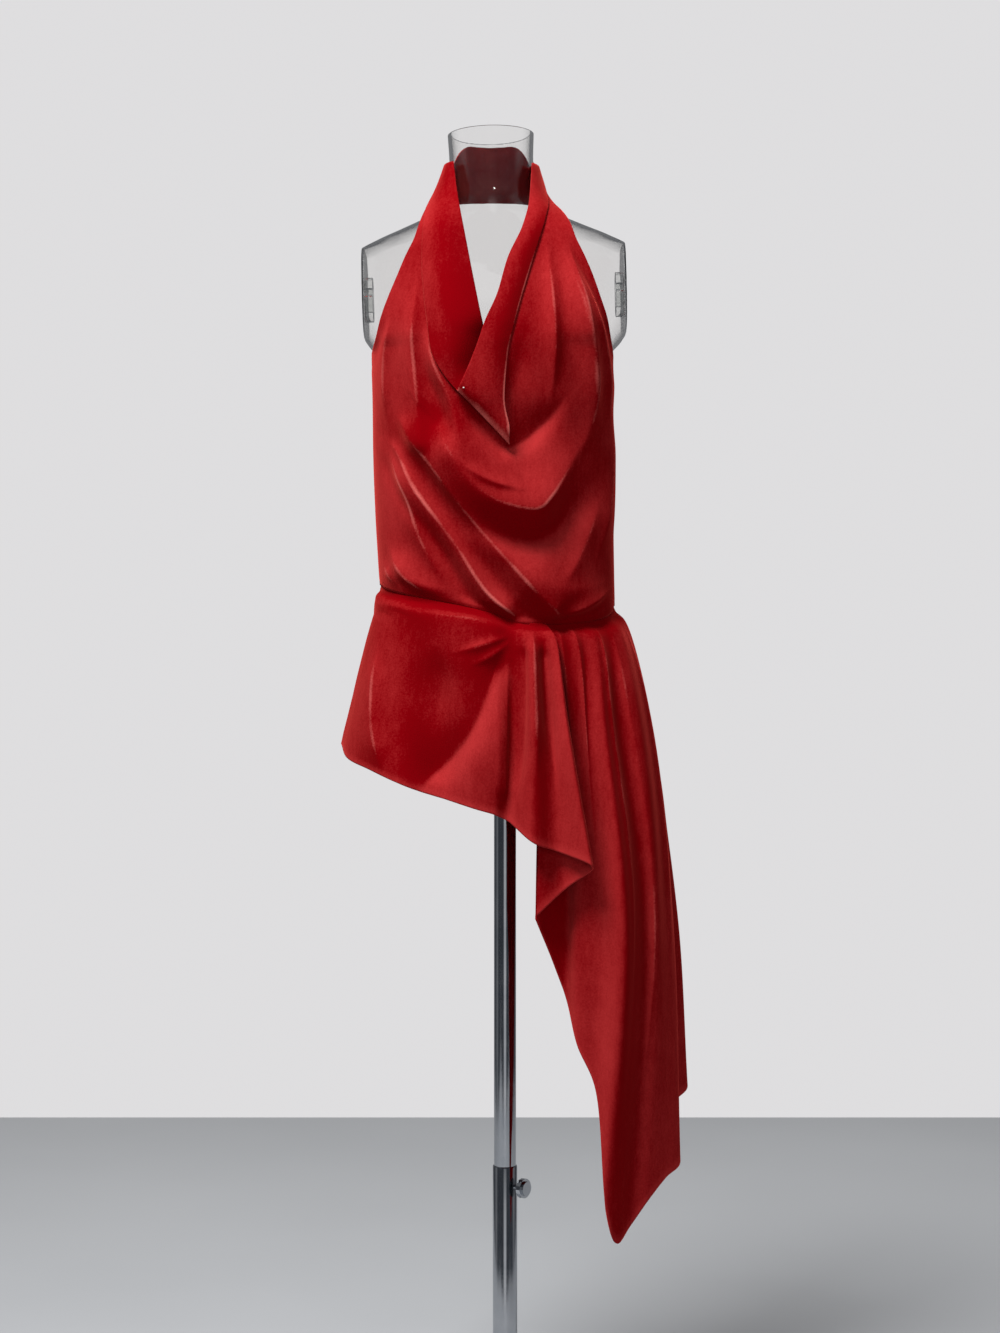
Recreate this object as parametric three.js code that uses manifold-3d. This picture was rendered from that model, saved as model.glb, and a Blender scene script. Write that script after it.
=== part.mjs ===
// A velvet halter neck top with an uneven cowl, a dropped waist seam, a slanting peplum and a long
// side drape, worn on a clear dress form that stands on a chrome telescopic pole.
// Millimetres, +Z up, the front faces -Y and the wearer's left side is at +X.
// The origin is on the floor, on the axis of the pole.
import * as THREE from "three";
import { mergeVertices } from "three/addons/utils/BufferGeometryUtils.js";
import Module from "manifold-3d";

const wasm = await Module();
wasm.setup();

const degree = Math.PI / 180;

// Driving dimensions of the stand
const runGap = 0.3; // clearance between pieces that meet
const baseRadius = 170;
const basePlateHeight = 8;
const tubeRadius = 16.5; // lower tube, outside
const tubeBore = 15.15;
const tubeTop = 407;
const poleRadius = 14.85; // upper pole, outside
const poleBore = 13.2;
const poleFoot = 200; // lower end of the upper pole, inside the tube
const knobHeight = 380; // height of the clamp screw above the floor
const knobTurn = 53; // degrees from straight ahead towards +X
const socketRadius = 50;
const socketHeight = 64;

// Driving dimensions of the clear form
const plateHeight = 6;
const formFoot = 1036; // lower rim of the shell
const formWall = 3;
const formLean = 1.3; // degrees, towards -X
const leanStart = 110; // height over which the lean comes in
const formOffset = -2;
const armFaceReach = 176; // from the middle of the form to the flat end of the shoulder

// Driving dimensions of the cloth
const clothWall = 1.5;
const seamGap = 0.5;
const armpitLevel = 1494;
const neckLow = 1705; // lower edge of the halter at the side of the neck
const neckHigh = 1757; // upper edge of the halter at the side of the neck
const bandBackLow = 1718;
const bandBackHigh = 1793;
const backScoop = 1330; // lowest point of the open back
const kneeLevel = 1000; // height at which the skirt lines are set a second time
const lowLevel = 740; // the same for the long lines of the drape
const puffReach = 7; // how far the skirt stands out just under its seam
const puffDrop = 17;

// Sections of the clear form, from its foot to the rim of the neck
const formSections = [
  { z: 1036, half: 148, front: 96, back: 98, square: 2.2 },
  { z: 1090, half: 149, front: 98, back: 100, square: 2.2 },
  { z: 1150, half: 144, front: 96, back: 96, square: 2.2 },
  { z: 1220, half: 132, front: 92, back: 86, square: 2.15 },
  { z: 1290, half: 117, front: 88, back: 76, square: 2.1 },
  { z: 1380, half: 133, front: 104, back: 84, square: 2.1 },
  { z: 1440, half: 145, front: 121, back: 90, square: 2.15 },
  { z: 1470, half: 148, front: 123, back: 92, square: 2.15 },
  { z: 1495, half: 153, front: 121, back: 94, square: 2.2 },
  { z: 1515, half: 170, front: 117, back: 96, square: 2.25 },
  { z: 1540, half: 184, front: 112, back: 98, square: 2.3 },
  { z: 1580, half: 191, front: 103, back: 99, square: 2.4 },
  { z: 1620, half: 192, front: 91, back: 96, square: 2.5 },
  { z: 1640, half: 184, front: 84, back: 91, square: 2.5 },
  { z: 1654, half: 160, front: 79, back: 86, square: 2.4 },
  { z: 1668, half: 128, front: 75, back: 81, square: 2.25 },
  { z: 1682, half: 97, front: 70, back: 75, square: 2.1 },
  { z: 1695, half: 74, front: 65, back: 68, square: 2.05 },
  { z: 1708, half: 61, front: 60, back: 61, square: 2 },
  { z: 1725, half: 57, front: 57, back: 57, square: 2 },
  { z: 1760, half: 56.5, front: 56.5, back: 56.5, square: 2 },
  { z: 1797, half: 58, front: 58, back: 58, square: 2 },
];

// Sections of the cloth where it hangs smooth round the form
const clothSections = [
  { z: 1130, centre: -9, half: 158, front: 108, back: 106, square: 2.2 },
  { z: 1170, centre: -10, half: 158, front: 110, back: 105, square: 2.2 },
  { z: 1220, centre: -12, half: 159, front: 114, back: 101, square: 2.2 },
  { z: 1290, centre: -14.5, half: 160.5, front: 121, back: 96, square: 2.2 },
  { z: 1380, centre: -16, half: 162, front: 130, back: 95, square: 2.2 },
  { z: 1440, centre: -16.5, half: 162, front: 136, back: 98, square: 2.25 },
  { z: 1494, centre: -17, half: 163, front: 137, back: 101, square: 2.4 },
  { z: 1515, centre: -16.5, half: 172, front: 135, back: 103, square: 2.5 },
  { z: 1540, centre: -16, half: 182, front: 130, back: 105, square: 2.5 },
  { z: 1580, centre: -16, half: 189, front: 119, back: 106, square: 2.5 },
  { z: 1625, centre: -16, half: 191, front: 105, back: 102, square: 2.5 },
  { z: 1650, centre: -16, half: 176, front: 97, back: 96, square: 2.4 },
  { z: 1668, centre: -16, half: 140, front: 90, back: 90, square: 2.25 },
  { z: 1685, centre: -17, half: 108, front: 83, back: 82, square: 2.1 },
  { z: 1700, centre: -17.5, half: 88, front: 76, back: 74, square: 2 },
  { z: 1714, centre: -17.8, half: 77, front: 71, back: 65, square: 2 },
  { z: 1730, centre: -18, half: 69.5, front: 67, back: 60, square: 2 },
  { z: 1745, centre: -18.3, half: 64.5, front: 64, back: 59.6, square: 2 },
  { z: 1757, centre: -18.5, half: 61.5, front: 62, back: 59.6, square: 2 },
  { z: 1790, centre: -19.2, half: 59.6, front: 59.6, back: 59.6, square: 2 },
];

// Outer edges of the front from the armpit to the neck: left and right reach at each height
const armholeEdges = [
  { z: 1494, left: -180, right: 146 },
  { z: 1511, left: -171, right: 140 },
  { z: 1537, left: -163, right: 134 },
  { z: 1563, left: -153, right: 125 },
  { z: 1589, left: -142, right: 116 },
  { z: 1616, left: -131, right: 105 },
  { z: 1642, left: -119, right: 93 },
  { z: 1668, left: -112, right: 85 },
  { z: 1686, left: -107, right: 77 },
  { z: 1705, left: -101.5, right: 66.5 },
];

// Hanging lines of the front, from the waist seam (rise 0) to the hidden edge of the cowl (rise 1).
// Each hangs from leftZ and rightZ on the edges to its lowest point at lowX and lowZ.
const swags = [
  { rise: 0, leftZ: 1190, lowX: 13, lowZ: 1134, rightZ: 1162, leftPower: 0.6, rightPower: 2.6 },
  { rise: 0.14, leftZ: 1275, lowX: 10, lowZ: 1172, rightZ: 1250, leftPower: 0.9, rightPower: 2.3 },
  { rise: 0.32, leftZ: 1385, lowX: 5, lowZ: 1235, rightZ: 1370, leftPower: 1.3, rightPower: 2 },
  { rise: 0.5, leftZ: 1494, lowX: 0, lowZ: 1300, rightZ: 1488, leftPower: 1.5, rightPower: 1.7 },
  { rise: 0.7, leftZ: 1595, lowX: -8, lowZ: 1356, rightZ: 1592, leftPower: 1.3, rightPower: 1.35 },
  { rise: 0.88, leftZ: 1705, lowX: -14, lowZ: 1398, rightZ: 1705, leftPower: 1.05, rightPower: 1.1 },
  { rise: 1, leftZ: 1757, lowX: -17, lowZ: 1417, rightZ: 1757, leftPower: 0.92, rightPower: 0.92 },
];

// Folds of the front: a line over it as x and z, how far it stands out and how wide it is
const bodiceFolds = [
  { name: "pouch", lift: 17, wide: 20, line: [[-88, 1480], [-69, 1411], [-50, 1356], [-8, 1304],
    [38, 1292], [84, 1334], [104, 1402]] },
  { name: "pouchRight", lift: 10, wide: 17, line: [[100, 1385], [110, 1447], [101, 1515], [72, 1640]] },
  { name: "long", lift: 13, wide: 17, line: [[-143, 1425], [-98, 1386], [-66, 1300], [-4, 1225],
    [66, 1150]] },
  { name: "second", lift: 11, wide: 16, line: [[-151, 1385], [-103, 1293], [-53, 1217], [10, 1146]] },
  { name: "third", lift: 9, wide: 15, line: [[-154, 1330], [-121, 1262], [-70, 1184]] },
  { name: "under", lift: -8, wide: 15, line: [[-62, 1300], [-20, 1256], [40, 1240], [98, 1268]] },
  { name: "upright", lift: 7, wide: 13, line: [[56, 1640], [63, 1591], [66, 1500], [62, 1440]] },
  { name: "upright2", lift: 7, wide: 12, line: [[88, 1630], [99, 1580], [121, 1515], [136, 1401]] },
  { name: "leftSoft", lift: 6, wide: 15, line: [[-122, 1590], [-128, 1500], [-120, 1440]] },
];

// The folded band of the cowl. It comes down from the left of the neck, is folded over along a slanting
// line at the bottom and climbs to the right of the neck in front. Each row is a section across it:
// its first edge, its second edge, and how far it stands in front of the cloth at each edge and between.
const bandSections = [
  { firstX: -78, firstZ: 1752, secondX: -66, secondZ: 1752, standFirst: 2.6, standSecond: 3, crown: 1 },
  { firstX: -104, firstZ: 1676, secondX: -58, secondZ: 1682, standFirst: 2.6, standSecond: 4, crown: 7 },
  { firstX: -107, firstZ: 1613, secondX: -46, secondZ: 1611, standFirst: 2.6, standSecond: 5, crown: 9 },
  { firstX: -103, firstZ: 1556, secondX: -35, secondZ: 1552, standFirst: 2.6, standSecond: 5, crown: 10 },
  { firstX: -92, firstZ: 1491, secondX: -25, secondZ: 1499, standFirst: 2.6, standSecond: 4, crown: 9 },
  { firstX: -75, firstZ: 1456, secondX: -13, secondZ: 1434, standFirst: 2.6, standSecond: 3, crown: 5 },
  { firstX: -61, firstZ: 1437, secondX: -1, secondZ: 1374, standFirst: 4, standSecond: 4, crown: 2 },
  { firstX: -57, firstZ: 1434, secondX: 4, secondZ: 1366, standFirst: 10, standSecond: 10, crown: 0.5 },
  { firstX: -52, firstZ: 1444, secondX: 4, secondZ: 1385, standFirst: 16, standSecond: 15, crown: 1.5 },
  { firstX: -36, firstZ: 1488, secondX: -2, secondZ: 1424, standFirst: 18, standSecond: 13, crown: 3 },
  { firstX: -25, firstZ: 1524, secondX: 2, secondZ: 1480, standFirst: 18, standSecond: 9, crown: 3 },
  { firstX: -11, firstZ: 1560, secondX: 15, secondZ: 1538, standFirst: 16, standSecond: 6, crown: 3 },
  { firstX: 2, firstZ: 1610, secondX: 33, secondZ: 1606, standFirst: 13, standSecond: 4, crown: 3 },
  { firstX: 20, firstZ: 1660, secondX: 53, secondZ: 1668, standFirst: 8, standSecond: 4, crown: 2 },
  { firstX: 30, firstZ: 1752, secondX: 43, secondZ: 1752, standFirst: 3, standSecond: 2.6, crown: 1 },
];

// Lines of the skirt, each from the waist seam down to the hem. turn is the seam's angle from straight
// ahead towards +X and out is its distance outside the bodice there. Then come its place at the knee
// level, at the low level where the line is long, and its end on the hem.
const frontLines = [
  { turn: -90, out: 0, kneeX: -219, kneeY: 4, endX: -223, endY: 6, endZ: 976 },
  { turn: -78, out: 1, kneeX: -205, kneeY: -48, endX: -209, endY: -52, endZ: 958 },
  { turn: -67, out: 1, kneeX: -180, kneeY: -88, endX: -177, endY: -98, endZ: 945 },
  { turn: -54, out: 1, kneeX: -140, kneeY: -112, endX: -136, endY: -128, endZ: 928 },
  { turn: -38, out: 0, kneeX: -92, kneeY: -117, endX: -80, endY: -126, endZ: 909 },
  { turn: -20, out: 2, kneeX: -48, kneeY: -140, endX: -38, endY: -140, endZ: 896 },
  { turn: -4, out: 4, kneeX: -10, kneeY: -142, endX: -14, endY: -140, endZ: 889 },
  { turn: 6, out: 3, kneeX: 8, kneeY: -129, endX: 2, endY: -130, endZ: 881 },
  { turn: 12, out: 9, kneeX: 36, kneeY: -151, endX: 36, endY: -158, endZ: 854 },
  { turn: 18, out: 8, kneeX: 58, kneeY: -140, endX: 65, endY: -146, endZ: 843 },
  { turn: 23, out: 10, kneeX: 80, kneeY: -150, endX: 110, endY: -165, endZ: 826 },
  { turn: 23, out: 5, kneeX: 82, kneeY: -138, endX: 112, endY: -150, endZ: 819 },
  { turn: 19, out: 3.5, kneeX: 64, kneeY: -126, endX: 79, endY: -136, endZ: 794 },
  { turn: 15, out: 3, kneeX: 45, kneeY: -120, endX: 41, endY: -124, endZ: 757 },
];
const drapeLines = [
  { turn: 16.2, out: 1.5, kneeX: 43, kneeY: -117, lowX: 40, lowY: -121, endX: 40, endY: -121, endZ: 753 },
  { turn: 20, out: 0, kneeX: 58, kneeY: -108, lowX: 58, lowY: -106, endX: 61, endY: -104, endZ: 700 },
  { turn: 25, out: 0, kneeX: 76, kneeY: -103, lowX: 80, lowY: -100, endX: 80, endY: -97, endZ: 644 },
  { turn: 31, out: 0, kneeX: 93, kneeY: -111, lowX: 94, lowY: -116, endX: 93, endY: -116, endZ: 589 },
  { turn: 38, out: 1, kneeX: 108, kneeY: -110, lowX: 122, lowY: -124, endX: 116, endY: -122, endZ: 535 },
  { turn: 45, out: 3, kneeX: 130, kneeY: -117, lowX: 156, lowY: -140, endX: 131, endY: -128, endZ: 372 },
  { turn: 50, out: 1, kneeX: 139, kneeY: -102, lowX: 169, lowY: -116, endX: 146, endY: -112, endZ: 330 },
  { turn: 56, out: 0, kneeX: 152, kneeY: -84, lowX: 183, lowY: -92, endX: 164, endY: -92, endZ: 348 },
  { turn: 65, out: 3, kneeX: 178, kneeY: -74, lowX: 201, lowY: -82, endX: 188, endY: -82, endZ: 379 },
  { turn: 76, out: 1, kneeX: 190, kneeY: -38, lowX: 214, lowY: -56, endX: 213, endY: -60, endZ: 404 },
  { turn: 85, out: 2, kneeX: 198, kneeY: -14, lowX: 225, lowY: -28, endX: 234, endY: -34, endZ: 418 },
  { turn: 93, out: 0, kneeX: 192, kneeY: 8, lowX: 219, lowY: 0, endX: 225, endY: -2, endZ: 455 },
  { turn: 101, out: 1, kneeX: 193, kneeY: 27, lowX: 224, lowY: 22, endX: 231, endY: 22, endZ: 487 },
  { turn: 111, out: 2, kneeX: 197, kneeY: 54, lowX: 237, lowY: 50, endX: 251, endY: 50, endZ: 505 },
  { turn: 122, out: 0, kneeX: 172, kneeY: 84, lowX: 208, lowY: 82, endX: 221, endY: 82, endZ: 556 },
  { turn: 134, out: 2, kneeX: 148, kneeY: 118, lowX: 178, lowY: 120, endX: 184, endY: 121, endZ: 640 },
  { turn: 146, out: 0, kneeX: 106, kneeY: 118, lowX: 112, lowY: 118, endX: 122, endY: 119, endZ: 735 },
];
const backLines = [
  { turn: 147.5, out: 0, kneeX: 101, kneeY: 118.5, endX: 114, endY: 120, endZ: 748 },
  { turn: 158, out: 2, kneeX: 66, kneeY: 139, endX: 72, endY: 142, endZ: 812 },
  { turn: 170, out: 0, kneeX: 20, kneeY: 126, endX: 20, endY: 130, endZ: 858 },
  { turn: 182, out: 3, kneeX: -24, kneeY: 149, endX: -26, endY: 154, endZ: 890 },
  { turn: 196, out: 0, kneeX: -66, kneeY: 128, endX: -68, endY: 132, endZ: 912 },
  { turn: 211, out: 3, kneeX: -118, kneeY: 138, endX: -122, endY: 142, endZ: 932 },
  { turn: 228, out: 0, kneeX: -158, kneeY: 102, endX: -160, endY: 106, endZ: 948 },
  { turn: 247, out: 2, kneeX: -204, kneeY: 70, endX: -208, endY: 74, endZ: 964 },
  { turn: 269.2, out: 0, kneeX: -219, kneeY: 6, endX: -223, endY: 8, endZ: 976 },
];

// Colours and finishes
const velvetRed = new THREE.MeshStandardMaterial({ color: 0x8f1016, roughness: 0.85, metalness: 0 });
const clearAcrylic = new THREE.MeshStandardMaterial({
  color: 0xeef2f3, roughness: 0.05, metalness: 0, transparent: true, opacity: 0.3,
});
const chrome = new THREE.MeshStandardMaterial({ color: 0xc8cacc, roughness: 0.12, metalness: 1 });

const part = new THREE.Group();

function addPiece(name, geometry, material) {
  const mesh = new THREE.Mesh(geometry, material);
  mesh.name = name;
  part.add(mesh);
  return mesh;
}

const mix = (a, b, t) => a + (b - a) * t;
const clamp = (value, low, high) => Math.min(high, Math.max(low, value));
const soft = (t) => t * t * (3 - 2 * t);

// Reads one column of a table at a place between its rows, with no overshoot between them.
function readTable(table, key, column, at) {
  const last = table.length - 1;
  if (at <= table[0][key]) return table[0][column];
  if (at >= table[last][key]) return table[last][column];
  let row = 0;
  while (at > table[row + 1][key]) row += 1;
  const rate = (k) => (table[k + 1][column] - table[k][column]) / (table[k + 1][key] - table[k][key]);
  const slopeAt = (k) => {
    if (k === 0 || k === last) return rate(Math.min(k, last - 1));
    const before = rate(k - 1);
    const after = rate(k);
    return before * after > 0 ? (2 * before * after) / (before + after) : 0;
  };
  const span = table[row + 1][key] - table[row][key];
  const t = (at - table[row][key]) / span;
  const rise = table[row + 1][column] - table[row][column];
  const startSlope = slopeAt(row) * span;
  const endSlope = slopeAt(row + 1) * span;
  const curve = (3 - 2 * t) * t * t;
  return table[row][column] + rise * curve
    + startSlope * t * (1 - t) * (1 - t) - endSlope * t * t * (1 - t);
}

// A point on a section: an oval with its own depth in front of and behind its widest line.
function sectionPoint(half, front, back, square, angle) {
  const across = Math.sin(angle);
  const ahead = Math.cos(angle);
  const reach = (Math.abs(across) ** square + Math.abs(ahead) ** square) ** (-1 / square);
  return [half * across * reach, -(ahead > 0 ? front : back) * ahead * reach];
}

// Builds a closed wall from a grid of points on its outer face, u across and v along.
// turnedOut is 1 where u cross v points away from the body and -1 where it points into it.
function wallFromGrid({ columns, rows, wall, turnedOut, closedAcross, pointAt }) {
  const grid = [];
  for (let i = 0; i <= columns; i += 1) {
    const line = [];
    for (let j = 0; j <= rows; j += 1) line.push(pointAt(i / columns, j / rows));
    grid.push(line);
  }
  const rightOf = (i) => (i < columns ? i + 1 : closedAcross ? 1 : i);
  const leftOf = (i) => (i > 0 ? i - 1 : closedAcross ? columns - 1 : i);
  const used = closedAcross ? columns : columns + 1;
  const positions = [];
  const inner = [];
  for (let i = 0; i < used; i += 1) {
    for (let j = 0; j <= rows; j += 1) {
      const across = grid[rightOf(i)][j].clone().sub(grid[leftOf(i)][j]);
      const along = grid[i][Math.min(j + 1, rows)].clone().sub(grid[i][Math.max(j - 1, 0)]);
      const normal = across.cross(along).normalize().multiplyScalar(turnedOut);
      positions.push(...grid[i][j].toArray());
      inner.push(...grid[i][j].clone().addScaledVector(normal, -wall).toArray());
    }
  }
  const innerStart = used * (rows + 1);
  positions.push(...inner);
  const at = (i, j) => (i % used) * (rows + 1) + j;
  const faces = [];
  const spread = (a, b) => Math.hypot(
    positions[3 * a] - positions[3 * b],
    positions[3 * a + 1] - positions[3 * b + 1],
    positions[3 * a + 2] - positions[3 * b + 2],
  );
  // Each quad is split along its shorter diagonal, so that a slanting fold keeps its line.
  const quad = (a, b, c, d) => {
    const halves = spread(a, c) <= spread(b, d) ? [[a, b, c], [a, c, d]] : [[a, b, d], [b, c, d]];
    halves.forEach(([p, q, r]) => (turnedOut > 0 ? faces.push(p, q, r) : faces.push(p, r, q)));
  };
  for (let i = 0; i < columns; i += 1) {
    for (let j = 0; j < rows; j += 1) {
      quad(at(i, j), at(i + 1, j), at(i + 1, j + 1), at(i, j + 1));
      quad(
        at(i, j) + innerStart, at(i, j + 1) + innerStart,
        at(i + 1, j + 1) + innerStart, at(i + 1, j) + innerStart,
      );
    }
    quad(at(i, 0), at(i, 0) + innerStart, at(i + 1, 0) + innerStart, at(i + 1, 0));
    quad(at(i, rows), at(i + 1, rows), at(i + 1, rows) + innerStart, at(i, rows) + innerStart);
  }
  if (!closedAcross) {
    for (let j = 0; j < rows; j += 1) {
      quad(at(0, j), at(0, j + 1), at(0, j + 1) + innerStart, at(0, j) + innerStart);
      quad(
        at(columns, j), at(columns, j) + innerStart,
        at(columns, j + 1) + innerStart, at(columns, j + 1),
      );
    }
  }
  const geometry = new THREE.BufferGeometry();
  geometry.setAttribute("position", new THREE.Float32BufferAttribute(positions, 3));
  geometry.setIndex(faces);
  geometry.computeVertexNormals();
  return geometry;
}

function toSolid(geometry) {
  const bare = geometry.clone();
  bare.deleteAttribute("normal");
  bare.deleteAttribute("uv");
  const merged = mergeVertices(bare, 1e-4);
  return new wasm.Manifold(new wasm.Mesh({
    numProp: 3,
    vertProperties: merged.attributes.position.array,
    triVerts: new Uint32Array(merged.index.array),
  }));
}

function fromSolid(solid) {
  const mesh = solid.getMesh();
  const geometry = new THREE.BufferGeometry();
  geometry.setAttribute("position", new THREE.BufferAttribute(mesh.vertProperties, 3));
  geometry.setIndex(new THREE.BufferAttribute(mesh.triVerts, 1));
  geometry.computeVertexNormals();
  return geometry;
}

// A turned piece about the Z axis, from its half outline as radius and height.
function turned(outline, segments) {
  const points = outline.map(([radius, height]) => new THREE.Vector2(radius, height));
  return new THREE.LatheGeometry(points, segments).rotateX(Math.PI / 2);
}

// A round bar that points away from the pole axis at the height of the clamp screw.
function radialBar(radius, from, to, segments) {
  return new THREE.CylinderGeometry(radius, radius, to - from, segments)
    .rotateZ(-Math.PI / 2)
    .translate((from + to) / 2, 0, 0)
    .rotateZ((knobTurn - 90) * degree)
    .translate(0, 0, knobHeight);
}

// Stand
function makeBasePlate() {
  const edge = 2.5;
  const outline = [
    [0, 0], [baseRadius - edge, 0], [baseRadius, edge], [baseRadius, basePlateHeight - edge],
    [baseRadius - edge, basePlateHeight], [0, basePlateHeight],
  ];
  addPiece("base_plate", turned(outline, 36), chrome);
}

function makeBaseHub() {
  const foot = basePlateHeight + runGap;
  const bore = tubeRadius + runGap;
  const outline = [
    [bore, foot], [bore + 20, foot], [bore + 19, foot + 5], [bore + 8, foot + 10],
    [bore + 6, foot + 38], [bore + 4, foot + 41], [bore, foot + 41], [bore, foot],
  ];
  addPiece("base_hub", turned(outline, 24), chrome);
}

function makeLowerTube() {
  const foot = basePlateHeight + runGap;
  const outline = [
    [tubeBore, foot], [tubeRadius, foot], [tubeRadius, tubeTop - 1.2], [tubeRadius - 0.6, tubeTop],
    [tubeBore, tubeTop], [tubeBore, foot],
  ];
  const boss = toSolid(radialBar(9.5, tubeBore + 0.6, 25, 20));
  const screwHole = toSolid(radialBar(3.4, tubeBore - 3, 30, 12));
  const tube = toSolid(turned(outline, 32)).add(boss).subtract(screwHole);
  addPiece("lower_tube", fromSolid(tube), chrome);
}

function makeClampKnob() {
  const shank = radialBar(3.1, poleRadius + runGap, 30, 12);
  const neck = radialBar(6.5, 25 + runGap, 28, 16);
  const head = radialBar(13, 27.5, 34, 16);
  const cap = radialBar(9.5, 33.5, 37, 16);
  const knob = toSolid(shank).add(toSolid(neck)).add(toSolid(head)).add(toSolid(cap));
  addPiece("clamp_knob", fromSolid(knob), chrome);
}

const socketTop = formFoot - runGap - plateHeight - runGap;

function makeUpperPole() {
  const top = socketTop - 4 - runGap;
  const outline = [
    [poleBore, poleFoot], [poleRadius, poleFoot], [poleRadius, top], [poleBore, top],
    [poleBore, poleFoot],
  ];
  addPiece("upper_pole", turned(outline, 32), chrome);
}

function makeFormSocket() {
  const foot = socketTop - socketHeight;
  const bore = poleRadius + runGap;
  const outline = [
    [0, socketTop - 4], [bore, socketTop - 4], [bore, foot], [bore + 3, foot],
    [bore + 3, socketTop - 12], [bore + 9, socketTop - 5], [socketRadius, socketTop - 4],
    [socketRadius, socketTop], [0, socketTop],
  ];
  addPiece("form_socket", turned(outline, 32), chrome);
}

// Clear form
function formPoint(angle, height) {
  const read = (column) => readTable(formSections, "z", column, height);
  const section = sectionPoint(read("half"), read("front"), read("back"), read("square"), angle);
  const across = clamp(section[0], -armFaceReach, armFaceReach);
  const rise = height - formFoot;
  const leanShare = soft(clamp(rise / leanStart, 0, 1));
  return new THREE.Vector3(
    formOffset + across - rise * Math.tan(formLean * degree),
    section[1],
    height + across * Math.sin(formLean * degree) * leanShare,
  );
}

// Heights of the shell's rows: close together at the shoulders, wide apart elsewhere.
const formRowHeights = [
  1036, 1090, 1150, 1220, 1290, 1350, 1405, 1450, 1480, 1497, 1515, 1535, 1570, 1605, 1628, 1643,
  1657, 1671, 1685, 1697, 1710, 1728, 1797,
];

function makeFormShell() {
  const rows = formRowHeights.length - 1;
  const geometry = wallFromGrid({
    columns: 32,
    rows,
    wall: formWall,
    turnedOut: 1,
    closedAcross: true,
    pointAt: (u, v) => formPoint(u * 2 * Math.PI, formRowHeights[Math.round(v * rows)]),
  });
  addPiece("form_shell", geometry, clearAcrylic);
}

function makeFormPlate() {
  const outline = new THREE.Shape();
  const steps = 32;
  for (let i = 0; i < steps; i += 1) {
    const rim = formPoint((i / steps) * 2 * Math.PI, formFoot);
    if (i === 0) outline.moveTo(rim.x, rim.y);
    else outline.lineTo(rim.x, rim.y);
  }
  outline.closePath();
  const geometry = new THREE.ExtrudeGeometry(outline, { depth: plateHeight, bevelEnabled: false });
  geometry.translate(0, 0, formFoot - runGap - plateHeight);
  addPiece("form_plate", geometry, clearAcrylic);
}

// A keyhole plate inside each flat shoulder end, where an arm would hook on.
function makeArmFitting(name, side) {
  const plate = { thick: 9, half: 15, tall: 30, middle: 1578 };
  const outline = new THREE.Shape();
  outline.absarc(0, plate.tall - plate.half, plate.half, 0, Math.PI, false);
  outline.absarc(0, plate.half - plate.tall, plate.half, Math.PI, 2 * Math.PI, false);
  outline.closePath();
  const keyhole = new THREE.Path();
  keyhole.absarc(0, 9, 6.5, -60 * degree, 240 * degree, false);
  keyhole.lineTo(-3.2, -16);
  keyhole.lineTo(3.2, -16);
  keyhole.closePath();
  outline.holes.push(keyhole);
  const geometry = new THREE.ExtrudeGeometry(outline, {
    depth: plate.thick, bevelEnabled: false, curveSegments: 8,
  });
  geometry.rotateX(Math.PI / 2).rotateZ(Math.PI / 2).translate(-plate.thick, 0, 0);
  if (side < 0) geometry.translate(plate.thick, 0, 0);
  const mesh = addPiece(name, geometry, clearAcrylic);
  const rise = plate.middle - formFoot;
  const inset = armFaceReach - formWall - runGap - 0.4;
  mesh.position.set(
    formOffset + side * inset - rise * Math.tan(formLean * degree),
    0,
    plate.middle + side * inset * Math.sin(formLean * degree),
  );
  mesh.rotation.y = -formLean * degree;
}

// Cloth where it hangs smooth: its outer face at a height, by angle or by distance across.
function clothAt(column, height) {
  return readTable(clothSections, "z", column, height);
}

function clothByAngle(angle, height) {
  const section = sectionPoint(
    clothAt("half", height), clothAt("front", height), clothAt("back", height),
    clothAt("square", height), angle,
  );
  return new THREE.Vector3(clothAt("centre", height) + section[0], section[1], height);
}

function clothInFront(x, height, out) {
  const half = clothAt("half", height);
  const square = clothAt("square", height);
  const share = clamp((x - clothAt("centre", height)) / half, -1, 1);
  const depth = (1 - Math.abs(share) ** square) ** (1 / square);
  return new THREE.Vector3(
    clothAt("centre", height) + share * (half + out),
    -(clothAt("front", height) + out) * depth,
    height,
  );
}

// How far the folds in a table lift a place on the front, each fading at its two ends.
const foldLines = bodiceFolds.map((fold) => ({
  ...fold,
  points: new THREE.SplineCurve(fold.line.map(([x, z]) => new THREE.Vector2(x, z))).getPoints(28),
}));

function foldLift(x, z) {
  let total = 0;
  for (const fold of foldLines) {
    const steps = fold.points.length - 1;
    let nearest = Infinity;
    let along = 0;
    for (let k = 0; k < steps; k += 1) {
      const from = fold.points[k];
      const run = fold.points[k + 1].clone().sub(from);
      const share = clamp(((x - from.x) * run.x + (z - from.y) * run.y) / run.lengthSq(), 0, 1);
      const distance = Math.hypot(x - from.x - share * run.x, z - from.y - share * run.y);
      if (distance < nearest) {
        nearest = distance;
        along = (k + share) / steps;
      }
    }
    const fade = Math.sin(Math.PI * clamp(along, 0.04, 0.96)) ** 0.5;
    total += fold.lift * fade * Math.exp(-((nearest / fold.wide) ** 2));
  }
  return total;
}

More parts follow.
